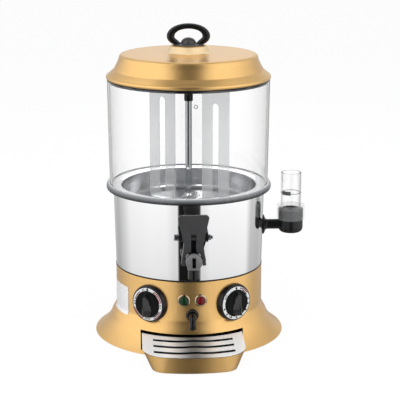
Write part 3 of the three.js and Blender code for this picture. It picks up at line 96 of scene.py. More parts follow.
# Light: a soft tent with a dark card in front, which the polished steel shows as one black band.
# Each list gives how bright the tent is at an angle: 0 is behind the camera, minus is to its left.
studio = {
    "band": [-15.8, 18.4],  # the dark card's left and right edge, in degrees
    "bandEdge": 0.7,
    "bandGrey": 0.012,
    "above": [
        [-180, 0.92], [-155, 0.5], [-138, 0.7], [-114, 1.08], [-88, 1.16], [-45, 1.22], [-34, 1.0],
        [-26, 0.5], [-19, 0.12], [21, 0.12], [28, 0.5], [36, 1.0], [45, 1.22], [62, 1.15], [88, 1.05],
        [112, 0.8], [140, 0.5], [180, 0.92],
    ],
    "below": [
        [-180, 0.3], [-170, 0.6], [-150, 0.5], [-138, 0.5], [-118, 0.74], [-102, 1.0], [-60, 1.12],
        [-34, 1.12], [-22, 0.96], [24, 0.98], [34, 1.12], [100, 1.1], [112, 0.64], [136, 0.56], [152, 0.62],
        [168, 0.4], [180, 0.3],
    ],
    "through": [
        [-180, 1.08], [-172, 1.07], [-160, 0.86], [-145, 0.56], [-118, 0.42], [-90, 0.62], [-66, 0.8],
        [-46, 0.6], [-36, 0.05], [22, 0.3], [30, 0.8], [48, 0.8], [76, 0.26], [110, 0.33], [140, 0.42],
        [158, 0.7], [172, 1.04], [180, 1.08],
    ],
    "high": [[-180, 0.4], [-110, 0.3], [-70, 0.06], [0, 0.02], [70, 0.06], [110, 0.3], [180, 0.4]],
    "horizon": [-0.12, 0.1],  # between these heights the tent goes from "below" to "above"
    "cardTop": [0.87, 0.955],  # and between these to "high"
    "nearFloor": [-0.42, -0.25, 0.48],  # under the second height it dims, down to the last share at the first
    "fillTone": "#F7F9FB",
    "fill": 0.62,
}
world = bpy.data.worlds.new("studio")
scene.world = world
world.use_nodes = True
skyTree = world.node_tree
skyTree.nodes.clear()
skyCoords = addNode(skyTree, "ShaderNodeTexCoord")
skyTurned = addNode(
    skyTree,
    "ShaderNodeVectorRotate",
    {"rotation_type": "Z_AXIS", "Angle": math.radians(-camera["azimuth"])},
    {"Vector": skyCoords.outputs["Generated"]},
)
skyParts = addNode(skyTree, "ShaderNodeSeparateXYZ", links={0: skyTurned.outputs[0]})
skyTowards = addNode(
    skyTree, "ShaderNodeMath", {"operation": "MULTIPLY", 1: -1.0}, {0: skyParts.outputs["Y"]}
)
skyAngle = addNode(
    skyTree,
    "ShaderNodeMath",
    {"operation": "ARCTAN2"},
    {0: skyParts.outputs["X"], 1: skyTowards.outputs[0]},
)
skyShare = addNode(
    skyTree,
    "ShaderNodeMapRange",
    {"From Min": -math.pi, "From Max": math.pi},
    {"Value": skyAngle.outputs[0]},
)
skyRamps = {}
left, right = studio["band"]
edge = studio["bandEdge"]
for name in ("above", "below", "through", "high"):
    stops = studio[name]
    if name != "high":
        earlier = [stop for stop in stops if stop[0] < left - edge]
        later = [stop for stop in stops if stop[0] > right + edge]
        stops = [*earlier, [left - edge, earlier[-1][1]], [left + edge, studio["bandGrey"]]]
        stops += [[right - edge, studio["bandGrey"]], [right + edge, later[0][1]], *later]
    ramp = addNode(skyTree, "ShaderNodeValToRGB", links={"Fac": skyShare.outputs[0]})
    ramp.color_ramp.elements[0].position = 0
    ramp.color_ramp.elements[1].position = 1
    for degrees, grey in stops:
        share = (degrees + 180) / 360
        if share in (0, 1):
            stop = ramp.color_ramp.elements[-1 if share else 0]
        else:
            stop = ramp.color_ramp.elements.new(share)
        stop.color = (grey, grey, grey, 1)
    skyRamps[name] = ramp
skyHigh = addNode(
    skyTree,
    "ShaderNodeMapRange",
    {"From Min": studio["horizon"][0], "From Max": studio["horizon"][1]},
    {"Value": skyParts.outputs["Z"]},
)
skyGloss = addNode(
    skyTree,
    "ShaderNodeMix",
    {"data_type": "RGBA"},
    {0: skyHigh.outputs[0], 6: skyRamps["below"].outputs[0], 7: skyRamps["above"].outputs[0]},
)
skyOver = addNode(
    skyTree,
    "ShaderNodeMapRange",
    {"From Min": studio["cardTop"][0], "From Max": studio["cardTop"][1]},
    {"Value": skyParts.outputs["Z"]},
)
skyTop = addNode(
    skyTree,
    "ShaderNodeMix",
    {"data_type": "RGBA"},
    {0: skyOver.outputs[0], 6: skyGloss.outputs[2], 7: skyRamps["high"].outputs[0]},
)
dimLow, dimHigh, dimShare = studio["nearFloor"]
skyNear = addNode(
    skyTree,
    "ShaderNodeMapRange",
    {"From Min": dimLow, "From Max": dimHigh, "To Min": dimShare},
    {"Value": skyParts.outputs["Z"]},
)
skyPath = addNode(skyTree, "ShaderNodeLightPath")
skyFill = addNode(
    skyTree, "ShaderNodeBackground", {"Color": colour(studio["fillTone"]), "Strength": studio["fill"]}
)
skyMirror = addNode(
    skyTree, "ShaderNodeBackground", links={"Color": skyTop.outputs[2], "Strength": skyNear.outputs[0]}
)
skyThrough = addNode(skyTree, "ShaderNodeBackground", links={"Color": skyRamps["through"].outputs[0]})
skyPlain = addNode(skyTree, "ShaderNodeBackground", {"Color": (1, 1, 1, 1), "Strength": 1.0})
skyMix = skyFill
skySeen = {"Is Glossy Ray": skyMirror, "Is Transmission Ray": skyThrough, "Is Camera Ray": skyPlain}
for ray, seen in skySeen.items():
    skyMix = addNode(
        skyTree,
        "ShaderNodeMixShader",
        links={0: skyPath.outputs[ray], 1: skyMix.outputs[0], 2: seen.outputs[0]},
    )
addNode(skyTree, "ShaderNodeOutputWorld", links={"Surface": skyMix.outputs[0]})

# Soft lamps all aim at the middle of the machine; places and sizes in millimetres, power in watts
lampAim = (0, 0, 200)
lamps = {
    "key": {"spot": (-900, -1500, 1500), "size": 900, "power": 14},
    "fill": {"spot": (1300, -1100, 1000), "size": 1200, "power": 8},
    "rear": {"spot": (200, 1500, 1400), "size": 1100, "power": 8},
    "top": {"spot": (0, -350, 1900), "size": 900, "power": 12},
}
for name, lamp in lamps.items():
    lampData = bpy.data.lights.new(name + "Lamp", "AREA")
    lampData.size = lamp["size"] / 1000
    lampData.energy = lamp["power"]
    lampObject = bpy.data.objects.new(name + "Lamp", lampData)
    lampObject.location = toMetres @ Vector(lamp["spot"])
    aim = toMetres @ Vector(lampAim) - lampObject.location
    lampObject.rotation_euler = aim.to_track_quat("-Z", "Y").to_euler()
    lampObject.visible_glossy = False
    lampObject.visible_camera = False
    scene.collection.objects.link(lampObject)

# Floor: matt, and seen by the camera as nearly the background's white, so that only the shadow shows on it
floor = {"half": 20, "near": -20, "far": 30, "tone": "#F2F2F2", "glowShare": 0.95}
floorCorners = [
    (side * floor["half"], y, 0)
    for side, y in ((-1, floor["near"]), (1, floor["near"]), (1, floor["far"]), (-1, floor["far"]))
]
floorMesh = bpy.data.meshes.new("studioFloor")
floorMesh.from_pydata(floorCorners, [], [(0, 1, 2, 3)])
floorObject = bpy.data.objects.new("studioFloor", floorMesh)
scene.collection.objects.link(floorObject)
floorFinish = bpy.data.materials.new("paintedStudioFloor")
floorFinish.use_nodes = True
floorTree = floorFinish.node_tree
floorTree.nodes.clear()
floorPath = addNode(floorTree, "ShaderNodeLightPath")
floorMatt = addNode(floorTree, "ShaderNodeBsdfDiffuse", {"Color": colour(floor["tone"])})
floorGlow = addNode(floorTree, "ShaderNodeEmission", {"Color": (1, 1, 1, 1), "Strength": 1.0})
floorShare = addNode(
    floorTree,
    "ShaderNodeMath",
    {"operation": "MULTIPLY", 1: floor["glowShare"]},
    {0: floorPath.outputs["Is Camera Ray"]},
)
floorMix = addNode(
    floorTree,
    "ShaderNodeMixShader",
    links={0: floorShare.outputs[0], 1: floorMatt.outputs[0], 2: floorGlow.outputs[0]},
)
addNode(floorTree, "ShaderNodeOutputMaterial", links={"Surface": floorMix.outputs[0]})
floorMesh.materials.append(floorFinish)
floorObject.visible_glossy = False
floorObject.visible_transmission = False
print("stage: camera, light and floor")


def newFinish(name, settings):
    finish = bpy.data.materials.new(name)
    finish.use_nodes = True
    tree = finish.node_tree
    tree.nodes.clear()
    shader = addNode(tree, "ShaderNodeBsdfPrincipled", settings)
    addNode(tree, "ShaderNodeOutputMaterial", links={"Surface": shader.outputs[0]})
    place = addNode(tree, "ShaderNodeTexCoord").outputs["Object"]
    return finish, tree, shader, place


def newSurface(name, settings, tones=None, gloss=None, grain=None, stretch=None):
    # tones: two colours and the size of their patches; gloss: two roughnesses and the size of the smudges;
    # grain: the size and depth of the skin's bumps. Sizes are in millimetres.
    finish, tree, shader, place = newFinish(name, settings)
    if stretch:
        place = addNode(tree, "ShaderNodeMapping", {"Scale": stretch}, {"Vector": place}).outputs[0]
    if tones:
        patches = addNode(
            tree, "ShaderNodeTexNoise", {"Scale": 1000 / tones[2], "Detail": 4.0}, {"Vector": place}
        )
        mix = addNode(
            tree,
            "ShaderNodeMix",
            {"data_type": "RGBA", 6: colour(tones[0]), 7: colour(tones[1])},
            {0: patches.outputs["Fac"]},
        )
        tree.links.new(mix.outputs[2], shader.inputs["Base Color"])
    if gloss:
        smudges = addNode(
            tree, "ShaderNodeTexNoise", {"Scale": 1000 / gloss[2], "Detail": 5.0}, {"Vector": place}
        )
        spread = addNode(
            tree,
            "ShaderNodeMapRange",
            {"From Min": 0.3, "From Max": 0.7, "To Min": gloss[0], "To Max": gloss[1]},
            {"Value": smudges.outputs["Fac"]},
        )
        tree.links.new(spread.outputs[0], shader.inputs["Roughness"])
    if grain:
        bumps = addNode(
            tree, "ShaderNodeTexNoise", {"Scale": 1000 / grain[0], "Detail": 3.0}, {"Vector": place}
        )
        relief = addNode(
            tree,
            "ShaderNodeBump",
            {"Strength": 1.0, "Distance": grain[1] / 1000},
            {"Height": bumps.outputs["Fac"]},
        )
        tree.links.new(relief.outputs[0], shader.inputs["Normal"])
    return finish


# Satin gold metallic paint, sprayed on spun steel: a warm, broad sheen, dark where nothing bright faces it
goldFinish, goldTree, goldShader, goldPlace = newFinish(
    "satinGoldMetallicPaint",
    {"Metallic": 0.92, "Roughness": 0.3, "Coat Weight": 0.25, "Coat Roughness": 0.18},
)
goldPatches = addNode(goldTree, "ShaderNodeTexNoise", {"Scale": 20.0, "Detail": 4.0}, {"Vector": goldPlace})
goldTone = addNode(
    goldTree,
    "ShaderNodeMix",
    {"data_type": "RGBA", 6: colour("#FACE88"), 7: colour("#F3C176")},
    {0: goldPatches.outputs["Fac"]},
)
# The flakes are under 0.1 mm and are drawn at 0.8 mm so that they show.
goldFlakes = addNode(goldTree, "ShaderNodeTexVoronoi", {"Scale": 1250.0}, {"Vector": goldPlace})
goldSpark = addNode(
    goldTree,
    "ShaderNodeMapRange",
    {"To Min": 0.93, "To Max": 1.06},
    {"Value": goldFlakes.outputs["Color"]},
)
goldFlaked = addNode(
    goldTree,
    "ShaderNodeMix",
    {"data_type": "RGBA", "blend_type": "MULTIPLY", 0: 1.0},
    {6: goldTone.outputs[2], 7: goldSpark.outputs[0]},
)
goldTree.links.new(goldFlaked.outputs[2], goldShader.inputs["Base Color"])
goldPeel = addNode(goldTree, "ShaderNodeTexNoise", {"Scale": 420.0, "Detail": 2.0}, {"Vector": goldPlace})
goldRelief = addNode(
    goldTree, "ShaderNodeBump", {"Strength": 1.0, "Distance": 0.00001}, {"Height": goldPeel.outputs["Fac"]}
)
goldTree.links.new(goldRelief.outputs[0], goldShader.inputs["Normal"])

# The boss gets a paler, cream copy of the gold paint: a painted highlight for the bright light it faces
bossHighlightGold = newSurface(
    "paleGoldMetallicPaint",
    {"Metallic": 0.3, "Coat Weight": 0.4, "Coat Roughness": 0.2},
    tones=("#E8D0A6", "#E2C697", 30),
    gloss=(0.34, 0.42, 20),
)

# Deep-drawn steel sheet, mirror polished: shows the room with hardly any haze
mirrorSteel = newSurface(
    "mirrorPolishedStainlessSteel",
    {"Metallic": 1.0, "Base Color": colour("#F8F8F9")},
    gloss=(0.03, 0.055, 35),
    grain=(80, 0.03),
)

# The pan is pressed and polished on a lathe, which leaves fine rings round the axis
panFinish, panTree, panShader, panPlace = newFinish(
    "lathePolishedPanSteel", {"Metallic": 1.0, "Base Color": colour("#D8D9DB"), "Roughness": 0.21}
)
panCentred = addNode(
    panTree, "ShaderNodeMapping", {"Location": (-axisX, -axisY, 0), "Scale": (1, 1, 0)}, {"Vector": panPlace}
)
panRadius = addNode(
    panTree, "ShaderNodeVectorMath", {"operation": "LENGTH"}, {0: panCentred.outputs[0]}
)
# The polishing rings are 0.2 mm apart and drawn at 1.2 mm so that they show.
panRings = addNode(
    panTree,
    "ShaderNodeTexNoise",
    {"noise_dimensions": "1D", "Scale": 800.0, "Detail": 3.0},
    {"W": panRadius.outputs["Value"]},
)
panRelief = addNode(
    panTree, "ShaderNodeBump", {"Strength": 1.0, "Distance": 0.00002}, {"Height": panRings.outputs["Fac"]}
)
panTree.links.new(panRelief.outputs[0], panShader.inputs["Normal"])

# Cast acrylic, clear and flame polished: the wall shows only by its edges and faint reflections
clearAcrylic = newSurface(
    "clearCastAcrylic",
    {"Base Color": colour("#FFFFFF"), "Transmission Weight": 1.0, "IOR": 1.49, "Roughness": 0.0},
    grain=(60, 0.01),
)
# A clear wall passes 92 % of the light, so what stands behind it is lit as if it stood in the open.
acrylicTree = clearAcrylic.node_tree
acrylicRays = addNode(acrylicTree, "ShaderNodeLightPath")
acrylicPassed = addNode(
    acrylicTree,
    "ShaderNodeMath",
    {"operation": "MAXIMUM"},
    {0: acrylicRays.outputs["Is Shadow Ray"], 1: acrylicRays.outputs["Is Diffuse Ray"]},
)
acrylicSeen = addNode(
    acrylicTree,
    "ShaderNodeMath",
    {"operation": "MULTIPLY_ADD", 1: -0.92, 2: 1.0},
    {0: acrylicPassed.outputs[0]},
)
acrylicShader = next(n for n in acrylicTree.nodes if n.type == "BSDF_PRINCIPLED")
acrylicTree.links.new(acrylicSeen.outputs[0], acrylicShader.inputs["Alpha"])
# Where the wall is seen edge on, its thickness swallows light and draws a thin grey line.
acrylicFacing = addNode(acrylicTree, "ShaderNodeLayerWeight", {"Blend": 0.5})
acrylicEdge = addNode(
    acrylicTree,
    "ShaderNodeMapRange",
    {"From Min": 0.8, "From Max": 0.9},
    {"Value": acrylicFacing.outputs["Facing"]},
)
acrylicTint = addNode(
    acrylicTree,
    "ShaderNodeMix",
    {"data_type": "RGBA", 6: colour("#FFFFFF"), 7: colour("#3C3C3C")},
    {0: acrylicEdge.outputs[0]},
)
acrylicTree.links.new(acrylicTint.outputs[2], acrylicShader.inputs["Base Color"])

# Natural polypropylene, moulded: milky, with what lies behind it showing dimly through
milkyPlastic = newSurface(
    "naturalPolypropylene",
    {"Alpha": 0.42, "IOR": 1.49},
    tones=("#DADBDC", "#E2E3E4", 40),
    gloss=(0.28, 0.4, 20),
    grain=(1.5, 0.01),
)

# Black ABS, moulded in a lightly eroded tool: satin skin with soft highlights
blackAbs = newSurface(
    "blackMouldedAbs",
    {"IOR": 1.53, "Specular IOR Level": 0.36},
    tones=("#0E0F10", "#17181A", 25),
    gloss=(0.2, 0.3, 22),
    grain=(0.9, 0.012),
)

# The knobs have a fine-etched black disc, and a grip polished by fingers
etchedAbs = newSurface(
    "etchedBlackAbs",
    {"IOR": 1.5, "Specular IOR Level": 0.12},
    tones=("#08090A", "#0F1011", 12),
    gloss=(0.4, 0.5, 12),
    grain=(0.7, 0.02),
)
wornAbs = newSurface(
    "fingerPolishedAbs",
    {"IOR": 1.54, "Specular IOR Level": 0.5},
    tones=("#101113", "#191A1C", 10),
    gloss=(0.14, 0.22, 9),
    grain=(2, 0.008),
)

# Plasticised PVC, extruded: black and wet-looking, with sharp streaks of light along it
glossyPvc = newSurface(
    "blackExtrudedPvc",
    {"IOR": 1.54, "Specular IOR Level": 0.25, "Coat Weight": 0.3, "Coat Roughness": 0.05},
    tones=("#060607", "#0C0C0D", 20),
    gloss=(0.1, 0.16, 18),
    grain=(6, 0.03),
)

# Glass-filled nylon: a greyer black, duller than the ABS
darkNylon = newSurface(
    "glassFilledNylon",
    {"IOR": 1.53},
    tones=("#333334", "#3E3E3F", 18),
    gloss=(0.3, 0.42, 15),
    grain=(1.1, 0.02),
)
# Nylon dyed smoke grey: the paler fittings of the tap
smokeNylon = newSurface(
    "smokeGreyNylon",
    {"IOR": 1.53},
    tones=("#5C5C5D", "#6A6A6B", 14),
    gloss=(0.25, 0.34, 12),
    grain=(1.2, 0.01),
)

# Moulded grey EPDM rubber with painted light and shade: pale on its upper lip, almost black at its foot
gasketRubber = newSurface("greyEpdmRubber", {"IOR": 1.58}, gloss=(0.2, 0.3, 14), grain=(1.4, 0.012))
gasketTree = gasketRubber.node_tree
gasketParts = addNode(
    gasketTree,
    "ShaderNodeSeparateXYZ",
    links={0: next(n for n in gasketTree.nodes if n.type == "TEX_COORD").outputs["Object"]},
)
gasketRise = addNode(
    gasketTree,
    "ShaderNodeMapRange",
    {"From Min": 0.2212, "From Max": 0.2299},
    {"Value": gasketParts.outputs["Z"]},
)
# Painted light and shade by height: near black at the foot, pale grey at the top.
gasketPaintedLight = addNode(gasketTree, "ShaderNodeValToRGB", links={"Fac": gasketRise.outputs[0]})
gasketPaintedLight.color_ramp.elements[0].color = colour("#141516")
gasketPaintedLight.color_ramp.elements[1].color = colour("#C9CBCD")
for share, tone in ((0.3, "#36383A"), (0.65, "#6C6E70"), (0.86, "#85878A")):
    gasketPaintedLight.color_ramp.elements.new(share).color = colour(tone)
gasketShader = next(n for n in gasketTree.nodes if n.type == "BSDF_PRINCIPLED")
gasketTree.links.new(gasketPaintedLight.outputs[0], gasketShader.inputs["Base Color"])
# Black EPDM, moulded or extruded: matt, for seals and feet
blackRubber = newSurface(
    "blackEpdmRubber",
    {"IOR": 1.5},
    tones=("#121212", "#1B1B1B", 12),
    gloss=(0.4, 0.55, 12),
    grain=(1.2, 0.02),
)
# Silicone: a greyish, faintly see-through washer
whiteSilicone = newSurface(
    "translucentSilicone",
    {"IOR": 1.42, "Subsurface Weight": 0.2, "Subsurface Scale": 0.004},
    tones=("#6E7072", "#7C7E80", 12),
    gloss=(0.4, 0.55, 10),
)

# Silk-screened dial foil: white lacquer over aluminium
dialFoil = newSurface(
    "whiteLacqueredDialFoil",
    {"Metallic": 0.15},
    tones=("#E4E5E6", "#EDEDEE", 12),
    gloss=(0.28, 0.4, 9),
    grain=(0.8, 0.004),
)
blackInk = newSurface("blackScreenInk", {"Roughness": 0.45}, tones=("#08080A", "#121215", 4))
greyInk = newSurface("greyScreenInk", {"Roughness": 0.5}, tones=("#46484A", "#5A5C5E", 2))
redInk = newSurface("redScreenInk", {"Roughness": 0.45}, tones=("#7E0C18", "#921523", 4))

# Pilot lamp lenses: clear tinted polycarbonate, deep in colour because the lamps are off
greenLens = newSurface(
    "greenPolycarbonate",
    {"IOR": 1.58, "Specular IOR Level": 0.3, "Roughness": 0.14},
    tones=("#04220C", "#0A3A17", 3),
)
redLens = newSurface(
    "redPolycarbonate",
    {"IOR": 1.58, "Specular IOR Level": 0.3, "Roughness": 0.14},
    tones=("#4C0009", "#7A0813", 3),
)

# Zinc-plated fasteners, and plain rolled or drawn steel for what is inside
zincSteel = newSurface(
    "zincPlatedSteel",
    {"Metallic": 1.0},
    tones=("#A6A8AA", "#BCBEC0", 6),
    gloss=(0.22, 0.38, 5),
    grain=(0.7, 0.008),
)
plainSteel = newSurface(
    "rolledSteel",
    {"Metallic": 1.0},
    tones=("#9A9C9E", "#AEB0B2", 30),
    gloss=(0.3, 0.46, 20),
    grain=(1.4, 0.01),
    stretch=(1, 1, 6),
)
# Nickel-plated brass rings: a softened mirror, tinted warm tan as a painted reflection of the gold housing
nickelPaintedGoldReflection = newSurface(
    "nickelPlatedBrass",
    {"Metallic": 1.0},
    tones=("#C4B59A", "#D2C4AA", 6),
    gloss=(0.16, 0.26, 5),
    grain=(0.7, 0.01),
)
# Drawn steel rod, polished along its length: darker than the sheet and streaked
drawnSteel = newSurface(
    "drawnPolishedSteel",
    {"Metallic": 0.92},
    tones=("#D6D8DA", "#E4E6E8", 5),
    gloss=(0.05, 0.1, 5),
    stretch=(1, 1, 0.05),
)
# The lid's inside is left unpainted: spun aluminium, dulled
bareAluminium = newSurface(
    "bareSpunAluminium",
    {"Metallic": 0.45},
    tones=("#C6C7C9", "#D2D3D5", 30),
    gloss=(0.4, 0.5, 20),
    grain=(1.4, 0.01),
)
# Oil-soaked sintered bronze for the shaft's bush, and a near-black inside for the painted sheets: painted
# shade
sinteredBronze = newSurface(
    "sinteredBronze",
    {"Metallic": 1.0},
    tones=("#8A6238", "#9E7344", 3),
    gloss=(0.4, 0.55, 3),
    grain=(0.7, 0.02),
)
darkPrimer = newSurface(
    "darkPrimer", {}, tones=("#0A0A0A", "#121110", 25), gloss=(0.5, 0.65, 20), grain=(2, 0.02)
)

# Brushed stainless sheet: the grit runs from side to side and blurs what it mirrors that way
brushedSteel, brushedTree, brushedShader, brushedPlace = newFinish(
    "brushedStainlessSheet", {"Metallic": 0.3, "Roughness": 0.34}
)
brushedGrain = addNode(brushedTree, "ShaderNodeMapping", {"Scale": (0.03, 1, 1)}, {"Vector": brushedPlace})
# The grit's lines are 0.1 mm apart and are drawn 0.7 mm apart so that they show.
brushedLines = addNode(
    brushedTree, "ShaderNodeTexNoise", {"Scale": 1400.0, "Detail": 3.0}, {"Vector": brushedGrain.outputs[0]}
)
brushedRelief = addNode(
    brushedTree,
    "ShaderNodeBump",
    {"Strength": 1.0, "Distance": 0.000006},
    {"Height": brushedLines.outputs["Fac"]},
)
brushedTree.links.new(brushedRelief.outputs[0], brushedShader.inputs["Normal"])
# Painted shade and reflection: the colour greys under the nozzle and the spout, and stays white at the ends
brushedCentred = addNode(
    brushedTree,
    "ShaderNodeMapping",
    {"Location": (-axisX, 0, 0), "Scale": (1, 0, 0)},
    {"Vector": brushedPlace},
)
brushedAside = addNode(
    brushedTree, "ShaderNodeVectorMath", {"operation": "LENGTH"}, {0: brushedCentred.outputs[0]}
)
brushedUneven = addNode(
    brushedTree, "ShaderNodeTexNoise", {"Scale": 45.0, "Detail": 4.0}, {"Vector": brushedPlace}
)
brushedWander = addNode(
    brushedTree,
    "ShaderNodeMath",
    {"operation": "MULTIPLY_ADD", 1: 0.012, 2: -0.006},
    {0: brushedUneven.outputs["Fac"]},
)
brushedEdge = addNode(
    brushedTree,
    "ShaderNodeMath",
    {"operation": "ADD"},
    {0: brushedAside.outputs["Value"], 1: brushedWander.outputs[0]},
)
brushedShadeBand = addNode(
    brushedTree,
    "ShaderNodeMapRange",
    {"interpolation_type": "SMOOTHSTEP", "From Min": 0.0, "From Max": 0.042},
    {"Value": brushedEdge.outputs[0]},
)
# Painted shade: grey in the band under the nozzle and spout, white towards the sheet's ends.
brushedShadedTone = addNode(
    brushedTree,
    "ShaderNodeMix",
    {"data_type": "RGBA", 6: colour("#7B7A78"), 7: colour("#FFFFFF")},
    {0: brushedShadeBand.outputs[0]},
)
brushedTree.links.new(brushedShadedTone.outputs[2], brushedShader.inputs["Base Color"])

# Clear styrene, slightly hazed by steam
hazyStyrene = newSurface(
    "hazedClearStyrene",
    {"Alpha": 0.13, "IOR": 1.59},
    tones=("#B4B5B6", "#BEBFC0", 10),
    gloss=(0.1, 0.2, 12),
)
# Metallised polyester film: a pale, slightly mirroring silver
silverFoil = newSurface(
    "silverPolyesterLabel", {"Metallic": 0.3}, tones=("#F3F3F6", "#FBFBFC", 12), gloss=(0.26, 0.36, 10)
)
print("stage: finishes")


def meshFrom(name, points, faces):
    mesh = bpy.data.meshes.new(name)
    mesh.from_pydata(points, [], faces)
    piece = bpy.data.objects.new(name, mesh)
    scene.collection.objects.link(piece)
    return piece


def tidyNormals(piece):
    work = bmesh.new()
    work.from_mesh(piece.data)
    bmesh.ops.remove_doubles(work, verts=work.verts, dist=0.002)
    bmesh.ops.recalc_face_normals(work, faces=work.faces)
    work.to_mesh(piece.data)
    work.free()
    return piece


def made(piece):
    # The evaluated shape replaces the piece's mesh, so that nothing live is left on it.
    bpy.context.view_layer.update()
    graph = bpy.context.evaluated_depsgraph_get()
    old = piece.data
    fresh = bpy.data.meshes.new_from_object(piece.evaluated_get(graph))
    piece.modifiers.clear()
    piece.data = fresh
    fresh.name = piece.name
    bpy.data.meshes.remove(old)
    return piece


def withTree(piece, tree, values):
    modifier = piece.modifiers.new(tree.name, "NODES")
    modifier.node_group = tree
    for item in tree.interface.items_tree:
        if item.item_type == "SOCKET" and item.in_out == "INPUT" and item.name in values:
            modifier[item.identifier] = values[item.name]
    return made(piece)


def cut(piece, cutters, operation="DIFFERENCE"):
    for cutter in cutters:
        modifier = piece.modifiers.new("cut", "BOOLEAN")
        modifier.operation = operation
        modifier.object = cutter
        modifier.solver = "EXACT"
    made(piece)
    for cutter in cutters:
        bpy.data.objects.remove(cutter)
    return piece


def rounded(piece, width, steps=2, angle=32):
    modifier = piece.modifiers.new("edge", "BEVEL")
    modifier.width = width
    modifier.segments = steps
    modifier.limit_method = "ANGLE"
    modifier.angle_limit = math.radians(angle)
    modifier.use_clamp_overlap = True
    modifier.harden_normals = False
    return made(piece)


def newTree(name, inputs):
    tree = bpy.data.node_groups.new(name, "GeometryNodeTree")
    tree.interface.new_socket("Geometry", in_out="INPUT", socket_type="NodeSocketGeometry")
    for label, kind, value in inputs:
        socket = tree.interface.new_socket(label, in_out="INPUT", socket_type=kind)
        if value is not None:
            socket.default_value = value
    tree.interface.new_socket("Geometry", in_out="OUTPUT", socket_type="NodeSocketGeometry")
    return tree, addNode(tree, "NodeGroupInput")


def closeTree(tree, start, shape):
    solid = addNode(tree, "GeometryNodeRealizeInstances", links={0: shape})
    painted = addNode(
        tree,
        "GeometryNodeSetMaterial",
        links={"Geometry": solid.outputs[0], "Material": start.outputs["Finish"]},
    )
    addNode(tree, "NodeGroupOutput", links={0: painted.outputs[0]})
    return tree


# Turned bodies: an outline of radius and height, carried round the axis
turnTree, turnStart = newTree(
    "turnedBody", [["Segments", "NodeSocketInt", 96], ["Finish", "NodeSocketMaterial", None]]
)
turnCount = addNode(turnTree, "GeometryNodeAttributeDomainSize", links={0: turnStart.outputs["Geometry"]})
turnColumns = addNode(
    turnTree, "ShaderNodeMath", {"operation": "ADD", 1: 1.0}, {0: turnStart.outputs["Segments"]}
)
turnGrid = addNode(
    turnTree,
    "GeometryNodeMeshGrid",
    links={"Vertices X": turnCount.outputs["Point Count"], "Vertices Y": turnColumns.outputs[0]},
)
turnIndex = addNode(turnTree, "GeometryNodeInputIndex")
turnRatio = addNode(
    turnTree, "ShaderNodeMath", {"operation": "DIVIDE"}, {0: turnIndex.outputs[0], 1: turnColumns.outputs[0]}
)
turnRow = addNode(turnTree, "ShaderNodeMath", {"operation": "FLOOR"}, {0: turnRatio.outputs[0]})
turnColumn = addNode(
    turnTree, "ShaderNodeMath", {"operation": "MODULO"}, {0: turnIndex.outputs[0], 1: turnColumns.outputs[0]}
)
turnShare = addNode(
    turnTree,
    "ShaderNodeMath",
    {"operation": "DIVIDE"},
    {0: turnColumn.outputs[0], 1: turnStart.outputs["Segments"]},
)
turnAngle = addNode(
    turnTree, "ShaderNodeMath", {"operation": "MULTIPLY", 1: math.tau}, {0: turnShare.outputs[0]}
)
turnPoint = addNode(
    turnTree,
    "GeometryNodeSampleIndex",
    {"data_type": "FLOAT_VECTOR"},
    {
        "Geometry": turnStart.outputs["Geometry"],
        "Value": addNode(turnTree, "GeometryNodeInputPosition").outputs[0],
        "Index": turnRow.outputs[0],
    },
)
turnParts = addNode(turnTree, "ShaderNodeSeparateXYZ", links={0: turnPoint.outputs[0]})
turnPlace = []
for operation in ("COSINE", "SINE"):
    wave = addNode(turnTree, "ShaderNodeMath", {"operation": operation}, {0: turnAngle.outputs[0]})
    turnPlace.append(
        addNode(
            turnTree,
            "ShaderNodeMath",
            {"operation": "MULTIPLY"},
            {0: wave.outputs[0], 1: turnParts.outputs["X"]},
        )
    )
turnSpot = addNode(
    turnTree,
    "ShaderNodeCombineXYZ",
    links={"X": turnPlace[0].outputs[0], "Y": turnPlace[1].outputs[0], "Z": turnParts.outputs["Z"]},
)
turnMoved = addNode(
    turnTree,
    "GeometryNodeSetPosition",
    links={"Geometry": turnGrid.outputs["Mesh"], "Position": turnSpot.outputs[0]},
)
turnWelded = addNode(
    turnTree, "GeometryNodeMergeByDistance", {"Distance": 0.001}, {"Geometry": turnMoved.outputs[0]}
)
closeTree(turnTree, turnStart, turnWelded.outputs[0])


def turned(name, outline, segments, finish):
    points = [(x, 0, z) for x, z in outline]
    if outline[0][0] > 0 or outline[-1][0] > 0:
        points.append(points[0])
    profile = meshFrom(name, points, [])
    withTree(profile, turnTree, {"Segments": segments, "Finish": finish})
    return tidyNormals(profile)


def eased(outline, radius, steps=3):
    # Every sharp corner of a closed outline becomes a small round, but for those on the axis or left of it.
    result = []
    for i, point in enumerate(outline):
        here = Vector(point)
        before = Vector(outline[i - 1]) - here
        after = Vector(outline[(i + 1) % len(outline)]) - here
        sharp = before.length > nearly and after.length > nearly and here.x > nearly
        if not sharp or math.pi - before.angle(after) < math.radians(24):
            result.append(tuple(here))
            continue
        reach = min(radius, before.length * 0.45, after.length * 0.45)
        start = here + before.normalized() * reach
        end = here + after.normalized() * reach
        for k in range(steps + 1):
            t = k / steps
            result.append(tuple(start * (1 - t) ** 2 + here * 2 * t * (1 - t) + end * t ** 2))
    return result


def flowing(outline, steps):
    # A smooth line through the given points
    spots = [Vector(p) for p in outline]
    result = []
    for i in range(len(spots) - 1):
        a = spots[max(i - 1, 0)]
        b, c = spots[i], spots[i + 1]
        d = spots[min(i + 2, len(spots) - 1)]
        for k in range(steps):
            t = k / steps
            square = (2 * a - 5 * b + 4 * c - d) * t ** 2
            cube = (3 * b - a - 3 * c + d) * t ** 3
            result.append(tuple((2 * b + (c - a) * t + square + cube) / 2))
    return result + [tuple(spots[-1])]


def inward(outline, thickness):
    # The other side of a sheet, each point moved square to the line
    result = []
    for i, point in enumerate(outline):
        before = Vector(outline[max(i - 1, 0)])
        after = Vector(outline[min(i + 1, len(outline) - 1)])
        along = (after - before).normalized()
        result.append((max(point[0] + along.y * thickness, 0), point[1] - along.x * thickness))
    return result


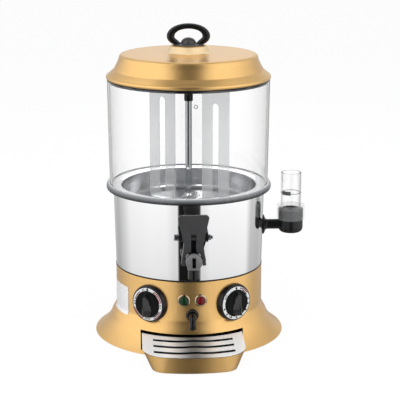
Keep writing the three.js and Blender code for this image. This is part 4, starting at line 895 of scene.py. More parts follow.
def band(inner, outer, low, high):
    return [(inner, low), (outer, low), (outer, high), (inner, high)]


def prism(name, outline, low, high):
    count = len(outline)
    points = [(x, y, low) for x, y in outline] + [(x, y, high) for x, y in outline]
    faces = [tuple(reversed(range(count))), tuple(range(count, 2 * count))]
    faces += [(i, (i + 1) % count, count + (i + 1) % count, count + i) for i in range(count)]
    return tidyNormals(meshFrom(name, points, faces))


def block(name, low, high):
    return prism(name, band(low[0], high[0], low[1], high[1]), low[2], high[2])


def arc(centre, radius, start, end, steps):
    turns = [start + (end - start) * i / steps for i in range(steps + 1)]
    return [
        (centre[0] + radius * math.cos(math.radians(t)), centre[1] + radius * math.sin(math.radians(t)))
        for t in turns
    ]


def dome(radius, foot, rise, start):
    turns = [math.radians(degrees) for degrees in range(start, 90, 10)]
    return [(radius * math.cos(t), foot + rise * math.sin(t)) for t in turns]


def sector(name, inner, outer, start, end, low, high):
    steps = max(2, round(abs(end - start) / 4))
    outline = arc((0, 0), outer, start, end, steps) + arc((0, 0), inner, end, start, steps)
    return prism(name, outline, low, high)


def lofted(name, rings, closed=False):
    # A skin over rings of equal count, with a face at both ends or, when closed, running back into itself
    count = len(rings[0])
    points = [p for ring in rings for p in ring]
    last = (len(rings) - 1) * count
    faces = [] if closed else [tuple(range(count)), tuple(range(last, last + count))]
    for level in range(len(rings) if closed else len(rings) - 1):
        onward = (level + 1) % len(rings)
        for i in range(count):
            a, b = level * count + i, level * count + (i + 1) % count
            faces.append((a, b, onward * count + (i + 1) % count, onward * count + i))
    return tidyNormals(meshFrom(name, points, faces))


def squarish(wave, power):
    # The sine or cosine of a circle, pushed outward so that the ring comes nearer to a square
    return math.copysign(abs(wave) ** power, wave)


def swept(name, path, radius, bore, sides):
    # A tube with a bore along a path in the plane X = 0
    rings = []
    across = Vector((1, 0, 0))
    for half, run, sign in ((radius, path, 1), (bore, path[::-1], -1)):
        for i, spot in enumerate(run):
            before = Vector(run[max(i - 1, 0)])
            after = Vector(run[min(i + 1, len(run) - 1)])
            up = (after - before).normalized().cross(across)
            ring = []
            for k in range(sides):
                turn = math.tau * k / sides
                aside = across * half * math.cos(turn)
                ring.append(tuple(Vector(spot) + aside + up * half * math.sin(turn) * sign))
            rings.append(ring)
    return lofted(name, rings, closed=True)


def facing(angle, height):
    # From a fitting's own frame (X right, Y up, Z out of the machine) to the body's
    return (
        Matrix.Rotation(math.radians(angle), 4, "Z")
        @ Matrix.Translation((0, 0, height))
        @ Matrix.Rotation(math.radians(90), 4, "X")
    )


# In a fitting's own frame, what is turned round Z stands up after the first and lies across after the second.
upright = Matrix.Rotation(math.radians(-90), 4, "X")
crosswise = Matrix.Rotation(math.radians(90), 4, "Y")


def moved(piece, matrix):
    piece.data.transform(matrix)
    return piece


def coated(piece, *finishes):
    piece.data.materials.clear()
    for finish in finishes:
        piece.data.materials.append(finish)
    return piece


def keepSmooth(piece, model):
    # After cutting, the faces of the big sheets take back the normals of the uncut shape.
    source = model.data
    corners = [v.co.copy() for v in source.vertices]
    polygons = [tuple(p.vertices) for p in source.polygons]
    starts = [p.loop_start for p in source.polygons]
    sourceNormals = [n.vector.copy() for n in source.corner_normals]
    tree = BVHTree.FromPolygons(corners, polygons)
    mesh = piece.data
    normals = []
    for polygon in mesh.polygons:
        for corner in polygon.vertices:
            spot = mesh.vertices[corner].co
            hit, flat, index = tree.find_nearest(spot + (polygon.center - spot) * 0.02)[:3]
            if flat.dot(polygon.normal) < 0.95:
                normals.append(polygon.normal.copy())
                continue
            around = polygons[index]
            weights = poly_3d_calc([corners[i] for i in around], hit)
            smooth = Vector((0, 0, 0))
            for i, weight in enumerate(weights):
                smooth += sourceNormals[starts[index] + i] * weight
            normals.append(smooth.normalized())
    mesh.normals_split_custom_set([tuple(n) for n in normals])


def place(piece, body, nodes=(), slot=None, finish=None, matrix=None, sharp=34, model=None):
    if finish is not None:
        coated(piece, finish)
    for shape in [piece, model] if model else [piece]:
        if matrix is not None:
            shape.data.transform(matrix)
        shape.data.transform(toMetres)
        shape.data.shade_smooth()
        shape.data.set_sharp_from_angle(angle=math.radians(sharp))
        # The large faces set the normals, so that the small rounds don't bend the light beside them.
        weighted = shape.modifiers.new("weighted", "WEIGHTED_NORMAL")
        weighted.keep_sharp = True
        made(shape)
    if model:
        keepSmooth(piece, model)
        bpy.data.objects.remove(model)
    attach(piece, body)
    if nodes:
        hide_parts(*nodes)
    return piece


def copyOf(piece, name):
    twin = bpy.data.objects.new(name, piece.data.copy())
    scene.collection.objects.link(twin)
    return twin


def joined(name, pieces):
    work = bmesh.new()
    for piece in pieces:
        work.from_mesh(piece.data)
        bpy.data.objects.remove(piece)
    mesh = bpy.data.meshes.new(name)
    work.to_mesh(mesh)
    work.free()
    whole = bpy.data.objects.new(name, mesh)
    scene.collection.objects.link(whole)
    return whole


def stick(name, radius, low, high, sides=48):
    return prism(name, arc((0, 0), radius, 0, 360 - 360 / sides, sides - 1), low, high)


def radialStick(name, angle, height, radius, near, far):
    return moved(stick(name, radius, near, far), facing(angle, height))


def bodyCore(radius, low=-40, high=40):
    # The machine's round wall in a fitting's own frame, which hollows the fitting's back to sit on it
    return moved(stick("bodyCore", radius, low, high, 192), upright)


# Painted base housing: neck, crease and flared foot in one turned sheet, cut for the tray, controls and lamps
housing = {
    "neck": 109.7,
    "top": 104.6,
    "crease": 46.0,
    "edge": 0.8,
    "spread": 32.1,
    "wall": 1.5,
    "lip": 99.2,
    "round": 1.2,
    "flare": [  # shares of the spread and of the height under the crease
        [0, 1], [0.025, 0.923], [0.131, 0.779], [0.215, 0.673], [0.283, 0.553], [0.389, 0.416],
        [0.564, 0.27], [0.776, 0.133], [0.936, 0.046], [1, 0.013], [0.992, 0],
    ],
    "openingHalf": 74.9,
    "openingBack": 70.9,
    "openingLow": 5.2,
    "openingHigh": 28.1,
    "holes": [  # angle from the front, height and radius
        [-33.5, 68.5, 3.5], [33.5, 68.5, 3.5], [-6.4, 77, 6.5], [6.4, 77, 6.5], [0, 55, 5.6], [180, 60, 7.3],
    ],
    "holeFrom": 96,
    "holeTo": 120,
}
housingFall = housing["crease"] - housing["edge"]
flareLine = flowing(
    [
        (housing["neck"] + out * housing["spread"], housing["edge"] + up * housingFall)
        for out, up in housing["flare"]
    ],
    4,
)


def reachAt(height):
    # How far the flare stands out at a height; above the crease that is the neck.
    for a, b in zip(flareLine, flareLine[1:]):
        if a[1] >= height >= b[1]:
            return a[0] + (b[0] - a[0]) * (a[1] - height) / (a[1] - b[1])
    return housing["neck"]


housingOuter = [(housing["neck"], housing["top"]), *flareLine]
housingInner = inward(housingOuter, housing["wall"])
housingInner[0] = (housing["neck"] - housing["wall"], housing["top"] - housing["wall"])
housingLine = [(housing["lip"], housing["top"]), *housingOuter]
housingLine += [*reversed(housingInner), (housing["lip"], housing["top"] - housing["wall"])]
housingModel = turned("housingModel", eased(housingLine, housing["round"]), 192, goldFinish)
housingPiece = copyOf(housingModel, "paintedHousing")
housingCutters = [
    block(
        "trayOpening",
        (-housing["openingHalf"], -212, housing["openingLow"]),
        (housing["openingHalf"], -housing["openingBack"], housing["openingHigh"]),
    )
]
for angle, height, radius in housing["holes"]:
    housingCutters.append(radialStick("hole", angle, height, radius, housing["holeFrom"], housing["holeTo"]))
cut(housingPiece, [joined("housingCutter", housingCutters)])
coated(housingPiece, goldFinish, darkPrimer)
# The faces inside the sheet are painted near black: painted shade for the hollow behind the wall.
for face in housingPiece.data.polygons:
    outward = Vector((face.center.x, face.center.y, 0)).normalized()
    inside = face.normal.dot(outward) < -0.05 or (face.normal.z < -0.5 and face.center.z > 90)
    face.material_index = 1 if inside else 0
place(housingPiece, "machine", ["base_housing"], "gold_paint", model=housingModel)

# Base plate screws and feet
feet = {"circle": 112.0, "radius": 9.0, "height": 3.7, "recess": 3.2, "depth": 1.6}
footLine = [
    (0, feet["height"]),
    (feet["radius"], feet["height"]),
    (feet["radius"] - 0.7, 0.5),
    (feet["radius"] - 1.2, 0),
    (feet["recess"], 0),
    (feet["recess"], feet["depth"]),
    (0, feet["depth"]),
]
for i in range(4):
    turn = math.radians(45 + 90 * i)
    foot = turned("rubberFoot%d" % (i + 1), eased(footLine, 0.5), 48, blackRubber)
    spot = Matrix.Translation((feet["circle"] * math.cos(turn), feet["circle"] * math.sin(turn), 0))
    place(foot, "machine", ["rubber_foot_%d" % (i + 1)], "rubber", matrix=spot)

# Seam seal between the gold housing and the steel shell
sealPiece = turned("seamSeal", eased(band(housing["lip"], 110.0, 104.9, 106.1), 0.5), 192, blackRubber)
place(sealPiece, "machine", ["seam_seal"], "rubber")

# Polished outer shell
shell = {
    "low": 106.4,
    "high": 226.9,
    "foot": 109.4,
    "top": 112.3,
    "wall": 1.2,
    "levels": 8,
    "holes": [[0, 150.5, 10.8], [90, 161, 7.7]],  # angle from the front, height and radius
    "holeFrom": 98,
    "holeTo": 122,
}
shellRise, shellLean = shell["high"] - shell["low"], shell["top"] - shell["foot"]
shellLine = [(shell["foot"] - shell["wall"], shell["low"]), (shell["foot"], shell["low"])]
for i in range(1, shell["levels"] + 1):
    shellLine.append(
        (shell["foot"] + shellLean * i / shell["levels"], shell["low"] + shellRise * i / shell["levels"])
    )
shellLine.append((shell["top"] - shell["wall"], shell["high"]))
shellModel = turned("shellModel", eased(shellLine, 0.4), 256, mirrorSteel)
shellPiece = copyOf(shellModel, "polishedShell")
shellCutters = [
    radialStick("hole", angle, height, radius, shell["holeFrom"], shell["holeTo"])
    for angle, height, radius in shell["holes"]
]
cut(shellPiece, [joined("shellCutter", shellCutters)])
place(shellPiece, "machine", ["outer_shell"], "polished_steel", finish=mirrorSteel, model=shellModel)

# Product pan, whose flange is the shelf that the jar stands on
pan = {
    "flange": 119.0,
    "top": 228.4,
    "underside": 227.2,
    "side": 98.4,
    "bendTop": 202.8,
    "bend": 7,
    "column": 5.3,
    "floor": 195.8,
    "floorUnder": 194.6,
    "wall": 1.2,
    "drainY": -80.0,
    "drain": 8.9,
}
panUpper = [
    (pan["flange"], pan["top"]),
    (112.0, pan["top"]),
    (107.6, 228.1),
    (103.4, 227.4),
    (101.1, 226.6),
    (100.1, 225.4),
    (99.9, 223.4),
    (pan["side"], pan["bendTop"]),
]
for i in range(1, 7):
    turn = math.radians(15 * i)
    panUpper.append(
        (pan["side"] - pan["bend"] * (1 - math.cos(turn)), pan["bendTop"] - pan["bend"] * math.sin(turn))
    )
panUpper.append((pan["column"], pan["floor"]))
panLower = inward(panUpper, -pan["wall"])
panLower[0] = (pan["flange"], pan["underside"])
panLower[-1] = (pan["column"], pan["floorUnder"])
panPiece = turned("productPan", panUpper + panLower[::-1], 192, panFinish)
cut(panPiece, [moved(stick("hole", pan["drain"], 190, 200), Matrix.Translation((0, pan["drainY"], 0)))])
place(panPiece, "machine", ["product_pan"], "polished_steel", finish=panFinish)

# Gasket that clasps the pan's flange and the jar's foot
gasketLine = [
    (112.7, 220.7),
    (121.3, 220.7),
    (122.1, 221.5),
    (122.5, 223.6),
    (122.4, 226.0),
    (122.0, 227.3),
    (121.3, 228.5),
    (119.4, 229.9),
    (117.8, 229.9),
    (117.8, 228.7),
    (119.3, 228.7),
    (119.3, 226.9),
    (112.7, 226.9),
]
gasketPiece = turned("jarGasket", eased(gasketLine, 0.6), 192, gasketRubber)
place(gasketPiece, "machine", ["jar_gasket"], "rubber")

# Jar
jar = {"foot": 117.4, "top": 119.7, "low": 228.7, "high": 383.2, "wall": 3.0}
jarLine = [
    (jar["foot"] - jar["wall"], jar["low"]),
    (jar["foot"], jar["low"]),
    (jar["top"], jar["high"]),
    (jar["top"] - jar["wall"], jar["high"]),
]
place(turned("clearJar", eased(jarLine, 0.8), 192, clearAcrylic), "jar_wall", ["jar"], "clear_plastic")
# A small printed ring high on the front of the wall
jarMark = {"angle": 2.3, "height": 362.0, "ring": [1.95, 2.9, 119.5, 119.65]}
jarMarkPiece = turned("jarMark", band(*jarMark["ring"]), 40, greyInk)
place(jarMarkPiece, "jar_wall", slot="black_plastic", matrix=facing(jarMark["angle"], jarMark["height"]))

# Lid: rolled rim, flared skirt, crown and boss
lid = {
    "bottom": 385.7,
    "shoulder": 99.4,
    "spread": 20.1,
    "skirt": 32.7,
    "wall": 1.5,
    "boss": 24.5,
    "bossTop": 431.3,
    "bossFoot": 33.4,
    "bossFrom": 420.8,
    "bossTo": 430.6,
    "skirtLine": [  # shares of the spread and of the skirt's height
        [0.026, 0.95], [0.105, 0.775], [0.231, 0.605], [0.373, 0.437], [0.46, 0.34], [0.59, 0.27],
        [0.76, 0.183], [0.9, 0.105], [0.955, 0.088], [0.99, 0.065], [1, 0.037], [0.99, 0.012], [0.975, 0],
    ],
}
skirtPoints = flowing(
    [
        (lid["shoulder"] + out * lid["spread"], lid["bottom"] + up * lid["skirt"])
        for out, up in lid["skirtLine"]
    ],
    4,
)
lidOuter = [
    (0, lid["bossTop"]),
    *arc((lid["boss"] - 0.4, lid["bossTop"] - 1.4), 1.4, 90, 30, 5),
    (26.6, 428.5),
    (27.9, 426.3),
    (29.3, 424.1),
    (31.0, 422.2),
    (lid["bossFoot"], 420.9),
    (37.0, 420.3),
    (42.0, 420.1),
    (60.0, 419.9),
    (80.0, 419.5),
    (90.0, 419.2),
    (95.2, 418.9),
    (97.6, 418.5),
    (98.8, 418.0),
    (99.5, 417.3),
    *skirtPoints,
]
lidInner = inward(lidOuter, -lid["wall"])
lidInner[0] = (0, lid["bossTop"] - lid["wall"])
lidPiece = turned("goldLid", lidOuter + lidInner[:0:-1] + lidInner[:1], 192, goldFinish)
coated(lidPiece, goldFinish, bareAluminium, bossHighlightGold)
for face in lidPiece.data.polygons:
    aside = Vector((face.center.x, face.center.y, 0))
    within = face.normal.z < 0 and face.normal.dot(aside.normalized()) < 0.02
    # On the boss the gold is the pale copy: a painted highlight.
    onBoss = aside.length < lid["bossFoot"] and lid["bossFrom"] < face.center.z < lid["bossTo"]
    face.material_index = 1 if within else 2 if onBoss else 0
place(lidPiece, "lid", ["lid_shell"], "gold_paint", sharp=50)
lidSealLine = [
    (113.2, 379.7),
    (116.2, 379.7),
    (116.2, 383.5),
    (119.8, 383.5),
    (119.8, 385.4),
    (113.2, 385.4),
]
place(turned("lidSeal", eased(lidSealLine, 0.4), 192, blackRubber), "lid", ["lid_seal"], "rubber")

# Handle: a hub with a dome, and a flattened ring that stands on it
hub = {
    "low": 431.6,
    "high": 434.4,
    "radius": 22.8,
    "bevel": 1.4,
    "dome": 11.2,
    "domeFoot": 0.6,
    "domeHeight": 9.2,
    "bore": 2.8,
    "boreTop": 440.6,
}
hubLine = [
    (0, hub["low"]),
    (hub["radius"] - hub["bevel"], hub["low"]),
    (hub["radius"], hub["low"] + hub["bevel"]),
    (hub["radius"] - hub["bevel"], hub["high"]),
    (hub["dome"] + 1.2, hub["high"] + 0.1),
    *dome(hub["dome"], hub["high"] + hub["domeFoot"], hub["domeHeight"] - hub["domeFoot"], 0),
    (0, hub["high"] + hub["domeHeight"]),
]
hubPiece = turned("handleHub", eased(hubLine, 0.8), 96, darkNylon)
cut(hubPiece, [stick("bore", hub["bore"], 428, hub["boreTop"], 24)])
place(hubPiece, "lid", ["lid_handle_hub"], "grey_plastic", finish=darkNylon)

handle = {
    "foot": 434.7,
    "half": 25.9,
    "rise": 25.5,
    "side": 11.6,
    "top": 7.8,
    "depth": 13.0,
    "line": [  # shares of the half width and of the rise, from the foot to the top
        [0.52, -0.26], [0.68, 0], [0.94, 0.25], [1, 0.46], [0.9, 0.68], [0.67, 0.86], [0.35, 0.965], [0, 1],
    ],
    "sides": 28,
    "squareness": 0.72,
}
handleLeft = [(-out * handle["half"], handle["foot"] + up * handle["rise"]) for out, up in handle["line"]]
handlePath = flowing([*handleLeft, *[(-x, z) for x, z in handleLeft[-2::-1]]], 6)
handleRings = []
for i, (x, z) in enumerate(handlePath):
    before = Vector(handlePath[max(i - 1, 0)])
    after = Vector(handlePath[min(i + 1, len(handlePath) - 1)])
    along = (after - before).normalized()
    thick = handle["top"] + (handle["side"] - handle["top"]) * along.y ** 2
    ring = []
    for k in range(handle["sides"]):
        turn = math.tau * k / handle["sides"]
        wide = squarish(math.cos(turn), handle["squareness"]) * thick / 2
        deep = squarish(math.sin(turn), handle["squareness"]) * handle["depth"] / 2
        ring.append((x - along.y * wide, deep, z + along.x * wide))
    handleRings.append(ring)
handlePiece = lofted("lidHandle", handleRings)
cut(handlePiece, [block("floor", (-60, -30, 400), (60, 30, handle["foot"]))])
place(handlePiece, "lid", ["lid_handle"], "black_plastic", finish=blackAbs)

# Stirrer: column with its collar, driving cap and two-bladed paddle
columnPiece = turned("mixerColumn", eased(band(4.2, 5.0, 107.9, 366.3), 0.25), 48, drawnSteel)
place(columnPiece, "machine", ["mixer_column"], "polished_steel")
collarLine = [
    (5.3, 196.1),
    (11.0, 196.1),
    (11.0, 205.6),
    (8.6, 207.0),
    (7.0, 208.9),
    (6.1, 211.6),
    (5.3, 211.6),
]
collarPiece = turned("columnCollar", eased(collarLine, 0.6), 64, panFinish)
place(collarPiece, "machine", ["column_collar"], "polished_steel")
capLine = [
    (0, 377.3),
    (9.9, 377.3),
    (9.9, 375.3),
    (6.5, 375.3),
    (6.5, 350.5),
    (5.5, 350.5),
    (5.5, 366.8),
    (3.3, 366.8),
    (3.3, 375.1),
    (0, 375.1),
]
place(turned("mixerCap", eased(capLine, 0.4), 48, blackAbs), "stirrer", ["mixer_cap"], "black_plastic")
paddle = {
    "angle": -40.5,
    "low": 198.4,
    "high": 375.0,
    "inner": 25.8,
    "outer": 74.0,
    "thick": 2.5,
    "bridge": 10.0,
    "slot": 12.0,
    "slotLow": 205.4,
    "slotHigh": 351.5,
    "corner": 3,
    "gapCorner": 5,
    "boss": 10.2,
    "bossLow": 365,
    "bossHigh": 375,
    "bore": 6.8,
}
corner, gapCorner = paddle["corner"], paddle["gapCorner"]
paddleLeft = arc((corner - paddle["outer"], paddle["low"] + corner), corner, 270, 180, 5)
paddleLeft += arc((corner - paddle["outer"], paddle["high"] - corner), corner, 180, 90, 5)
paddleRight = [(-x, z) for x, z in paddleLeft[::-1]]
paddleGap = [
    (paddle["inner"], paddle["low"]),
    *arc((paddle["inner"] - gapCorner, paddle["high"] - paddle["bridge"] - gapCorner), gapCorner, 0, 90, 5),
    *arc((gapCorner - paddle["inner"], paddle["high"] - paddle["bridge"] - gapCorner), gapCorner, 90, 180, 5),
    (-paddle["inner"], paddle["low"]),
]
paddleOutline = paddleLeft + paddleRight + paddleGap
paddlePiece = prism("mixingPaddle", paddleOutline, -paddle["thick"] / 2, paddle["thick"] / 2)
slotCutters = []
for side in (-1, 1):
    middle = side * (paddle["inner"] + paddle["outer"]) / 2
    half = paddle["slot"] / 2
    slotLine = arc((middle, paddle["slotHigh"] - half), half, 0, 180, 12)
    slotLine += arc((middle, paddle["slotLow"] + half), half, 180, 360, 12)
    slotCutters.append(prism("slot", slotLine, -10, 10))
cut(paddlePiece, slotCutters)
moved(paddlePiece, Matrix.Rotation(math.radians(90), 4, "X"))
bossLine = band(0, paddle["boss"], paddle["bossLow"], paddle["bossHigh"])
cut(paddlePiece, [turned("boss", eased(bossLine, 0.5), 48, milkyPlastic)], "UNION")
cut(paddlePiece, [stick("bore", paddle["bore"], 350, 390)])
rounded(paddlePiece, 0.45, 2)
paddleTurn = Matrix.Rotation(math.radians(paddle["angle"]), 4, "Z")
place(paddlePiece, "stirrer", ["mixer_paddle"], "milky_plastic", finish=milkyPlastic, matrix=paddleTurn)
print("stage: body, lid, jar and stirrer")

# Tap: washer, body with its yoke, cap, nozzle, lever and pivot, drawn with X right, Y up and Z outward
tap = {
    "height": 150.5,
    "shell": 110.46,
    "back": 113.46,
    "flange": 16.0,
    "barrel": 11.0,
    "chamber": 8.3,
    "socket": 10.8,
    "seat": 6,
    "front": 161.06,
    "nozzleAt": 152.06,
    "skirt": 8.9,
    "skirtDrop": 13.5,
    "nozzle": 7.8,
    "bore": 5.5,
    "neck": 6.6,
    "drop": 28.0,
    "pivotAt": 145.7,
    "pivotRise": 31.0,
    "pivotBore": 2.8,
    "yokeHalf": 20.8,
    "yokeThick": 5.5,
    "ear": 4.0,
    "earCurve": 6.5,
    "earLow": 22.0,
    "earHigh": 39.0,
    "pin": 150.06,
    "pinWay": 2.3,
    "stroke": 8.71,
}
tapMount = facing(0, tap["height"])
atNozzle = Matrix.Translation((0, 0, tap["nozzleAt"])) @ upright
atPivot = Matrix.Translation((0, tap["pivotRise"], tap["pivotAt"]))
washerLine = band(tap["socket"], 17.0, 106.0, 113.16)
washerPiece = turned("tapWasher", eased(washerLine, 0.5), 64, whiteSilicone)
cut(washerPiece, [bodyCore(tap["shell"] + 0.3)])
place(washerPiece, "machine", ["tap_washer"], "silicone", matrix=tapMount)

flangeLine = [
    (0, tap["back"]),
    (tap["flange"], tap["back"]),
    (tap["flange"], 117.46),
    (12.6, 118.0),
    (11.2, 119.6),
    (tap["barrel"], 121.0),
    (tap["barrel"], tap["front"]),
    (0, tap["front"]),
]
tapBody = turned("tapBody", eased(flangeLine, 0.8), 64, blackAbs)
yokeLine = [
    (-12.5, -5),
    (12.5, -5),
    (tap["yokeHalf"], tap["earLow"]),
    (tap["yokeHalf"], tap["earHigh"]),
    (-tap["yokeHalf"], tap["earHigh"]),
    (-tap["yokeHalf"], tap["earLow"]),
]
bodyParts = [
    rounded(prism("yoke", eased(yokeLine, 3), tap["back"], tap["back"] + tap["yokeThick"]), 0.6)
]
# An ear's outline is drawn with X out of the machine, and then turned to stand beside the lever.
earLine = [
    (tap["back"] + 0.2, tap["earLow"]),
    (tap["pivotAt"] - 1.5, tap["pivotRise"] - tap["earCurve"]),
    *arc((tap["pivotAt"], tap["pivotRise"]), tap["earCurve"], -90, 60, 8),
    (tap["pivotAt"] - 4, tap["earHigh"] - 0.6),
    (tap["back"] + 0.2, tap["earHigh"]),
]
turnEar = Matrix(((0, 0, 1, 0), (0, 1, 0, 0), (1, 0, 0, 0), (0, 0, 0, 1)))
for side in (-1, 1):
    ear = rounded(prism("ear", earLine, -tap["ear"] / 2, tap["ear"] / 2), 0.5)
    moved(ear, Matrix.Translation((side * (tap["yokeHalf"] - tap["ear"] / 2), 0, 0)) @ turnEar)
    bodyParts.append(tidyNormals(ear))
skirtLine = [(0, 0), (tap["skirt"] - 0.4, 0), (tap["skirt"], -tap["skirtDrop"]), (0, -tap["skirtDrop"])]
bodyParts.append(moved(turned("skirt", eased(skirtLine, 0.6), 48, blackAbs), atNozzle))
cut(tapBody, bodyParts, "UNION")
pinSlot = block(
    "pinSlot",
    (-14, -tap["pinWay"], tap["pin"] - tap["stroke"] - tap["pinWay"]),
    (14, tap["pinWay"], tap["pin"] + tap["pinWay"]),
)
bodyCutters = [
    stick("socket", tap["socket"], 105, 118.46),
    stick("seat", tap["seat"], 110, 124),
    stick("chamber", tap["chamber"], 121.46, 170),
    moved(stick("neckBore", tap["neck"] + 0.3, -40, 0), atNozzle),
    moved(stick("pivotBore", tap["pivotBore"], -40, 40, 24), atPivot @ crosswise),
    pinSlot,
]
cut(tapBody, bodyCutters)
coated(tapBody, blackAbs, smokeNylon)
for face in tapBody.data.polygons:
    # The outside of the nozzle's skirt is the same smoke grey as the cap.
    aside = Vector((face.center.x, 0, face.center.z - tap["nozzleAt"]))
    onSkirt = face.center.y < -9 and aside.length > tap["neck"] + 1
    face.material_index = 1 if onSkirt else 0
place(tapBody, "machine", ["tap_body"], "black_plastic", matrix=tapMount)

tapCapLine = [
    (0, 157.06),
    (8.0, 157.06),
    (8.0, 161.36),
    (12.0, 161.36),
    *flowing([(12.0, 163.6), (11.6, 165.4), (10.2, 167.3), (7.8, 168.6), (4.6, 169.2), (0, 169.36)], 3),
]
tapCap = turned("tapCap", eased(tapCapLine, 0.4), 64, smokeNylon)
capSlot = {"half": 2.6, "reach": 7.2, "floor": 163.6, "mouth": 168.4}
slotLow = (-capSlot["half"], -capSlot["reach"], capSlot["floor"])
slotHigh = (capSlot["half"], capSlot["reach"], 176)
cut(tapCap, [rounded(block("capSlot", slotLow, slotHigh), 0.6)])
# Inside the slot the faces are black: painted shade in the recess; the cap itself is smoke grey.
coated(tapCap, smokeNylon, blackAbs)
for face in tapCap.data.polygons:
    inside = abs(face.center.x) < capSlot["half"] + 0.1 and abs(face.center.y) < capSlot["reach"] + 0.1
    deep = capSlot["floor"] - 0.6 < face.center.z < capSlot["mouth"]
    face.material_index = 1 if inside and deep else 0
place(tapCap, "machine", ["tap_cap"], "grey_plastic", matrix=tapMount)

nozzleLine = [
    (tap["bore"], -tap["drop"]),
    (tap["nozzle"] - 0.4, -tap["drop"]),
    (tap["nozzle"], -26.6),
    (tap["nozzle"], -13.8),
    (tap["neck"], -13.8),
    (tap["neck"], -8.8),
    (tap["bore"], -8.8),
]
nozzlePiece = moved(turned("tapNozzle", eased(nozzleLine, 0.4), 48, glossyPvc), atNozzle)
place(nozzlePiece, "machine", ["tap_nozzle"], "black_plastic", matrix=tapMount)

# The lever's plate widens to the top. Its fork straddles the barrel, and two cheeks reach back to the cross
# pin of the plunger.
lever = {
    "back": 150.7,
    "front": 156.2,
    "top": 65.0,
    "topHalf": 22.0,
    "waist": 22.0,
    "waistHalf": 13.2,
    "lobeHalf": 17.0,
    "lobeRise": 2.0,
    "lobeLow": 7.8,
    "forkHalf": 12.4,
    "forkRadius": 13.0,
    "slotHalf": 3.8,
    "slotTop": 37.5,
    "bridgeHalf": 4.4,
    "bridgeLow": 30.2,
    "bridgeHigh": 32.4,
    "bridgeBack": 151.6,
    "bridgeFront": 154.6,
    "cheek": 4.0,
    "cheekBack": 143.2,
    "cheekFront": 153.5,
    "lean": 0.13,
    "boss": 5.8,
    "bossHalf": 16.3,
}
forkRise = math.sqrt(lever["forkRadius"] ** 2 - lever["forkHalf"] ** 2)
forkTurn = math.degrees(math.atan2(forkRise, lever["forkHalf"]))
slotTurn = math.degrees(math.acos(lever["slotHalf"] / lever["forkRadius"]))
leverSide = [
    *arc((lever["lobeHalf"] - 4, 4 - lever["lobeLow"]), 4, -90, 0, 5),
    (lever["lobeHalf"], lever["lobeRise"]),
    (lever["waistHalf"] + 1.5, 13.0),
    (lever["waistHalf"], lever["waist"]),
    (lever["waistHalf"] + 0.9, 27.0),
    *arc((lever["topHalf"] - 5, lever["top"] - 5), 5, 10, 90, 6),
]
leverLine = [(lever["forkHalf"], -lever["lobeLow"]), *leverSide]
leverLine += [(-x, y) for x, y in leverSide[::-1]]
leverLine += [(-lever["forkHalf"], -lever["lobeLow"])]
leverLine += arc((0, 0), lever["forkRadius"], 180 - forkTurn, 180 - slotTurn, 8)
leverLine += [(-lever["slotHalf"], lever["slotTop"]), (lever["slotHalf"], lever["slotTop"])]
leverLine += arc((0, 0), lever["forkRadius"], slotTurn, forkTurn, 8)
leverParts = [prism("plate", leverLine, lever["back"], lever["front"])]
cheekLine = [
    (lever["cheekFront"], 37.0),
    (tap["pivotAt"], tap["pivotRise"]),
    (lever["cheekBack"], lever["waist"]),
    (lever["cheekBack"], -4.5),
    (lever["cheekBack"] + 1.6, -lever["lobeLow"]),
    (lever["cheekFront"], -lever["lobeLow"]),
]
for side in (-1, 1):
    cheek = prism("cheek", cheekLine, lever["lobeHalf"] - 0.3 - lever["cheek"], lever["lobeHalf"] - 0.3)
    # The cheeks lean towards each other at the top.
    lean = Matrix(((0, -side * lever["lean"], side, 0), (0, 1, 0, 0), (1, 0, 0, 0), (0, 0, 0, 1)))
    leverParts.append(tidyNormals(moved(cheek, lean)))
# Each part is cut for the cross pin by itself, before the parts lie in one another.
pinSwing = atPivot @ Matrix.Rotation(math.radians(-8), 4, "X")
for part in leverParts:
    pinWay = block(
        "pinWay", (-44, -50, -tap["pinWay"]), (44, tap["pinWay"] - tap["pivotRise"], tap["pinWay"])
    )
    cut(part, [moved(pinWay, pinSwing)])
    rounded(part, 1.1 if part is leverParts[0] else 0.5, 3, 40)
leverBossLine = band(tap["pivotBore"], lever["boss"], -lever["bossHalf"], lever["bossHalf"])
leverParts.append(moved(turned("leverBoss", leverBossLine, 32, darkNylon), atPivot @ crosswise))
leverBridge = block(
    "leverBridge",
    (-lever["bridgeHalf"], lever["bridgeLow"], lever["bridgeBack"]),
    (lever["bridgeHalf"], lever["bridgeHigh"], lever["bridgeFront"]),
)
leverParts.append(rounded(leverBridge, 0.3))
leverPiece = joined("tapLever", leverParts)
place(leverPiece, "lever", ["tap_lever"], "black_plastic", finish=darkNylon, matrix=tapMount)

boltLine = [
    (0, -27.3),
    (3.9, -27.3),
    (4.4, -26.7),
    (4.4, -21.1),
    (2.5, -21.1),
    (2.5, 26.6),
    (2.0, 27.4),
    (0, 27.4),
]
boltPiece = moved(turned("pivotBolt", eased(boltLine, 0.3), 32, zincSteel), atPivot @ crosswise)
place(boltPiece, "machine", ["tap_pivot_bolt"], "plain_steel", matrix=tapMount)
nutPiece = prism("pivotNut", arc((0, 0), 4.2, 0, 300, 5), 21.1, 24.5)
cut(nutPiece, [stick("bore", tap["pivotBore"], 15, 30, 24)])
rounded(nutPiece, 0.35)
moved(nutPiece, atPivot @ crosswise)
place(nutPiece, "machine", ["tap_pivot_nut"], "plain_steel", finish=zincSteel, matrix=tapMount)
print("stage: tap")

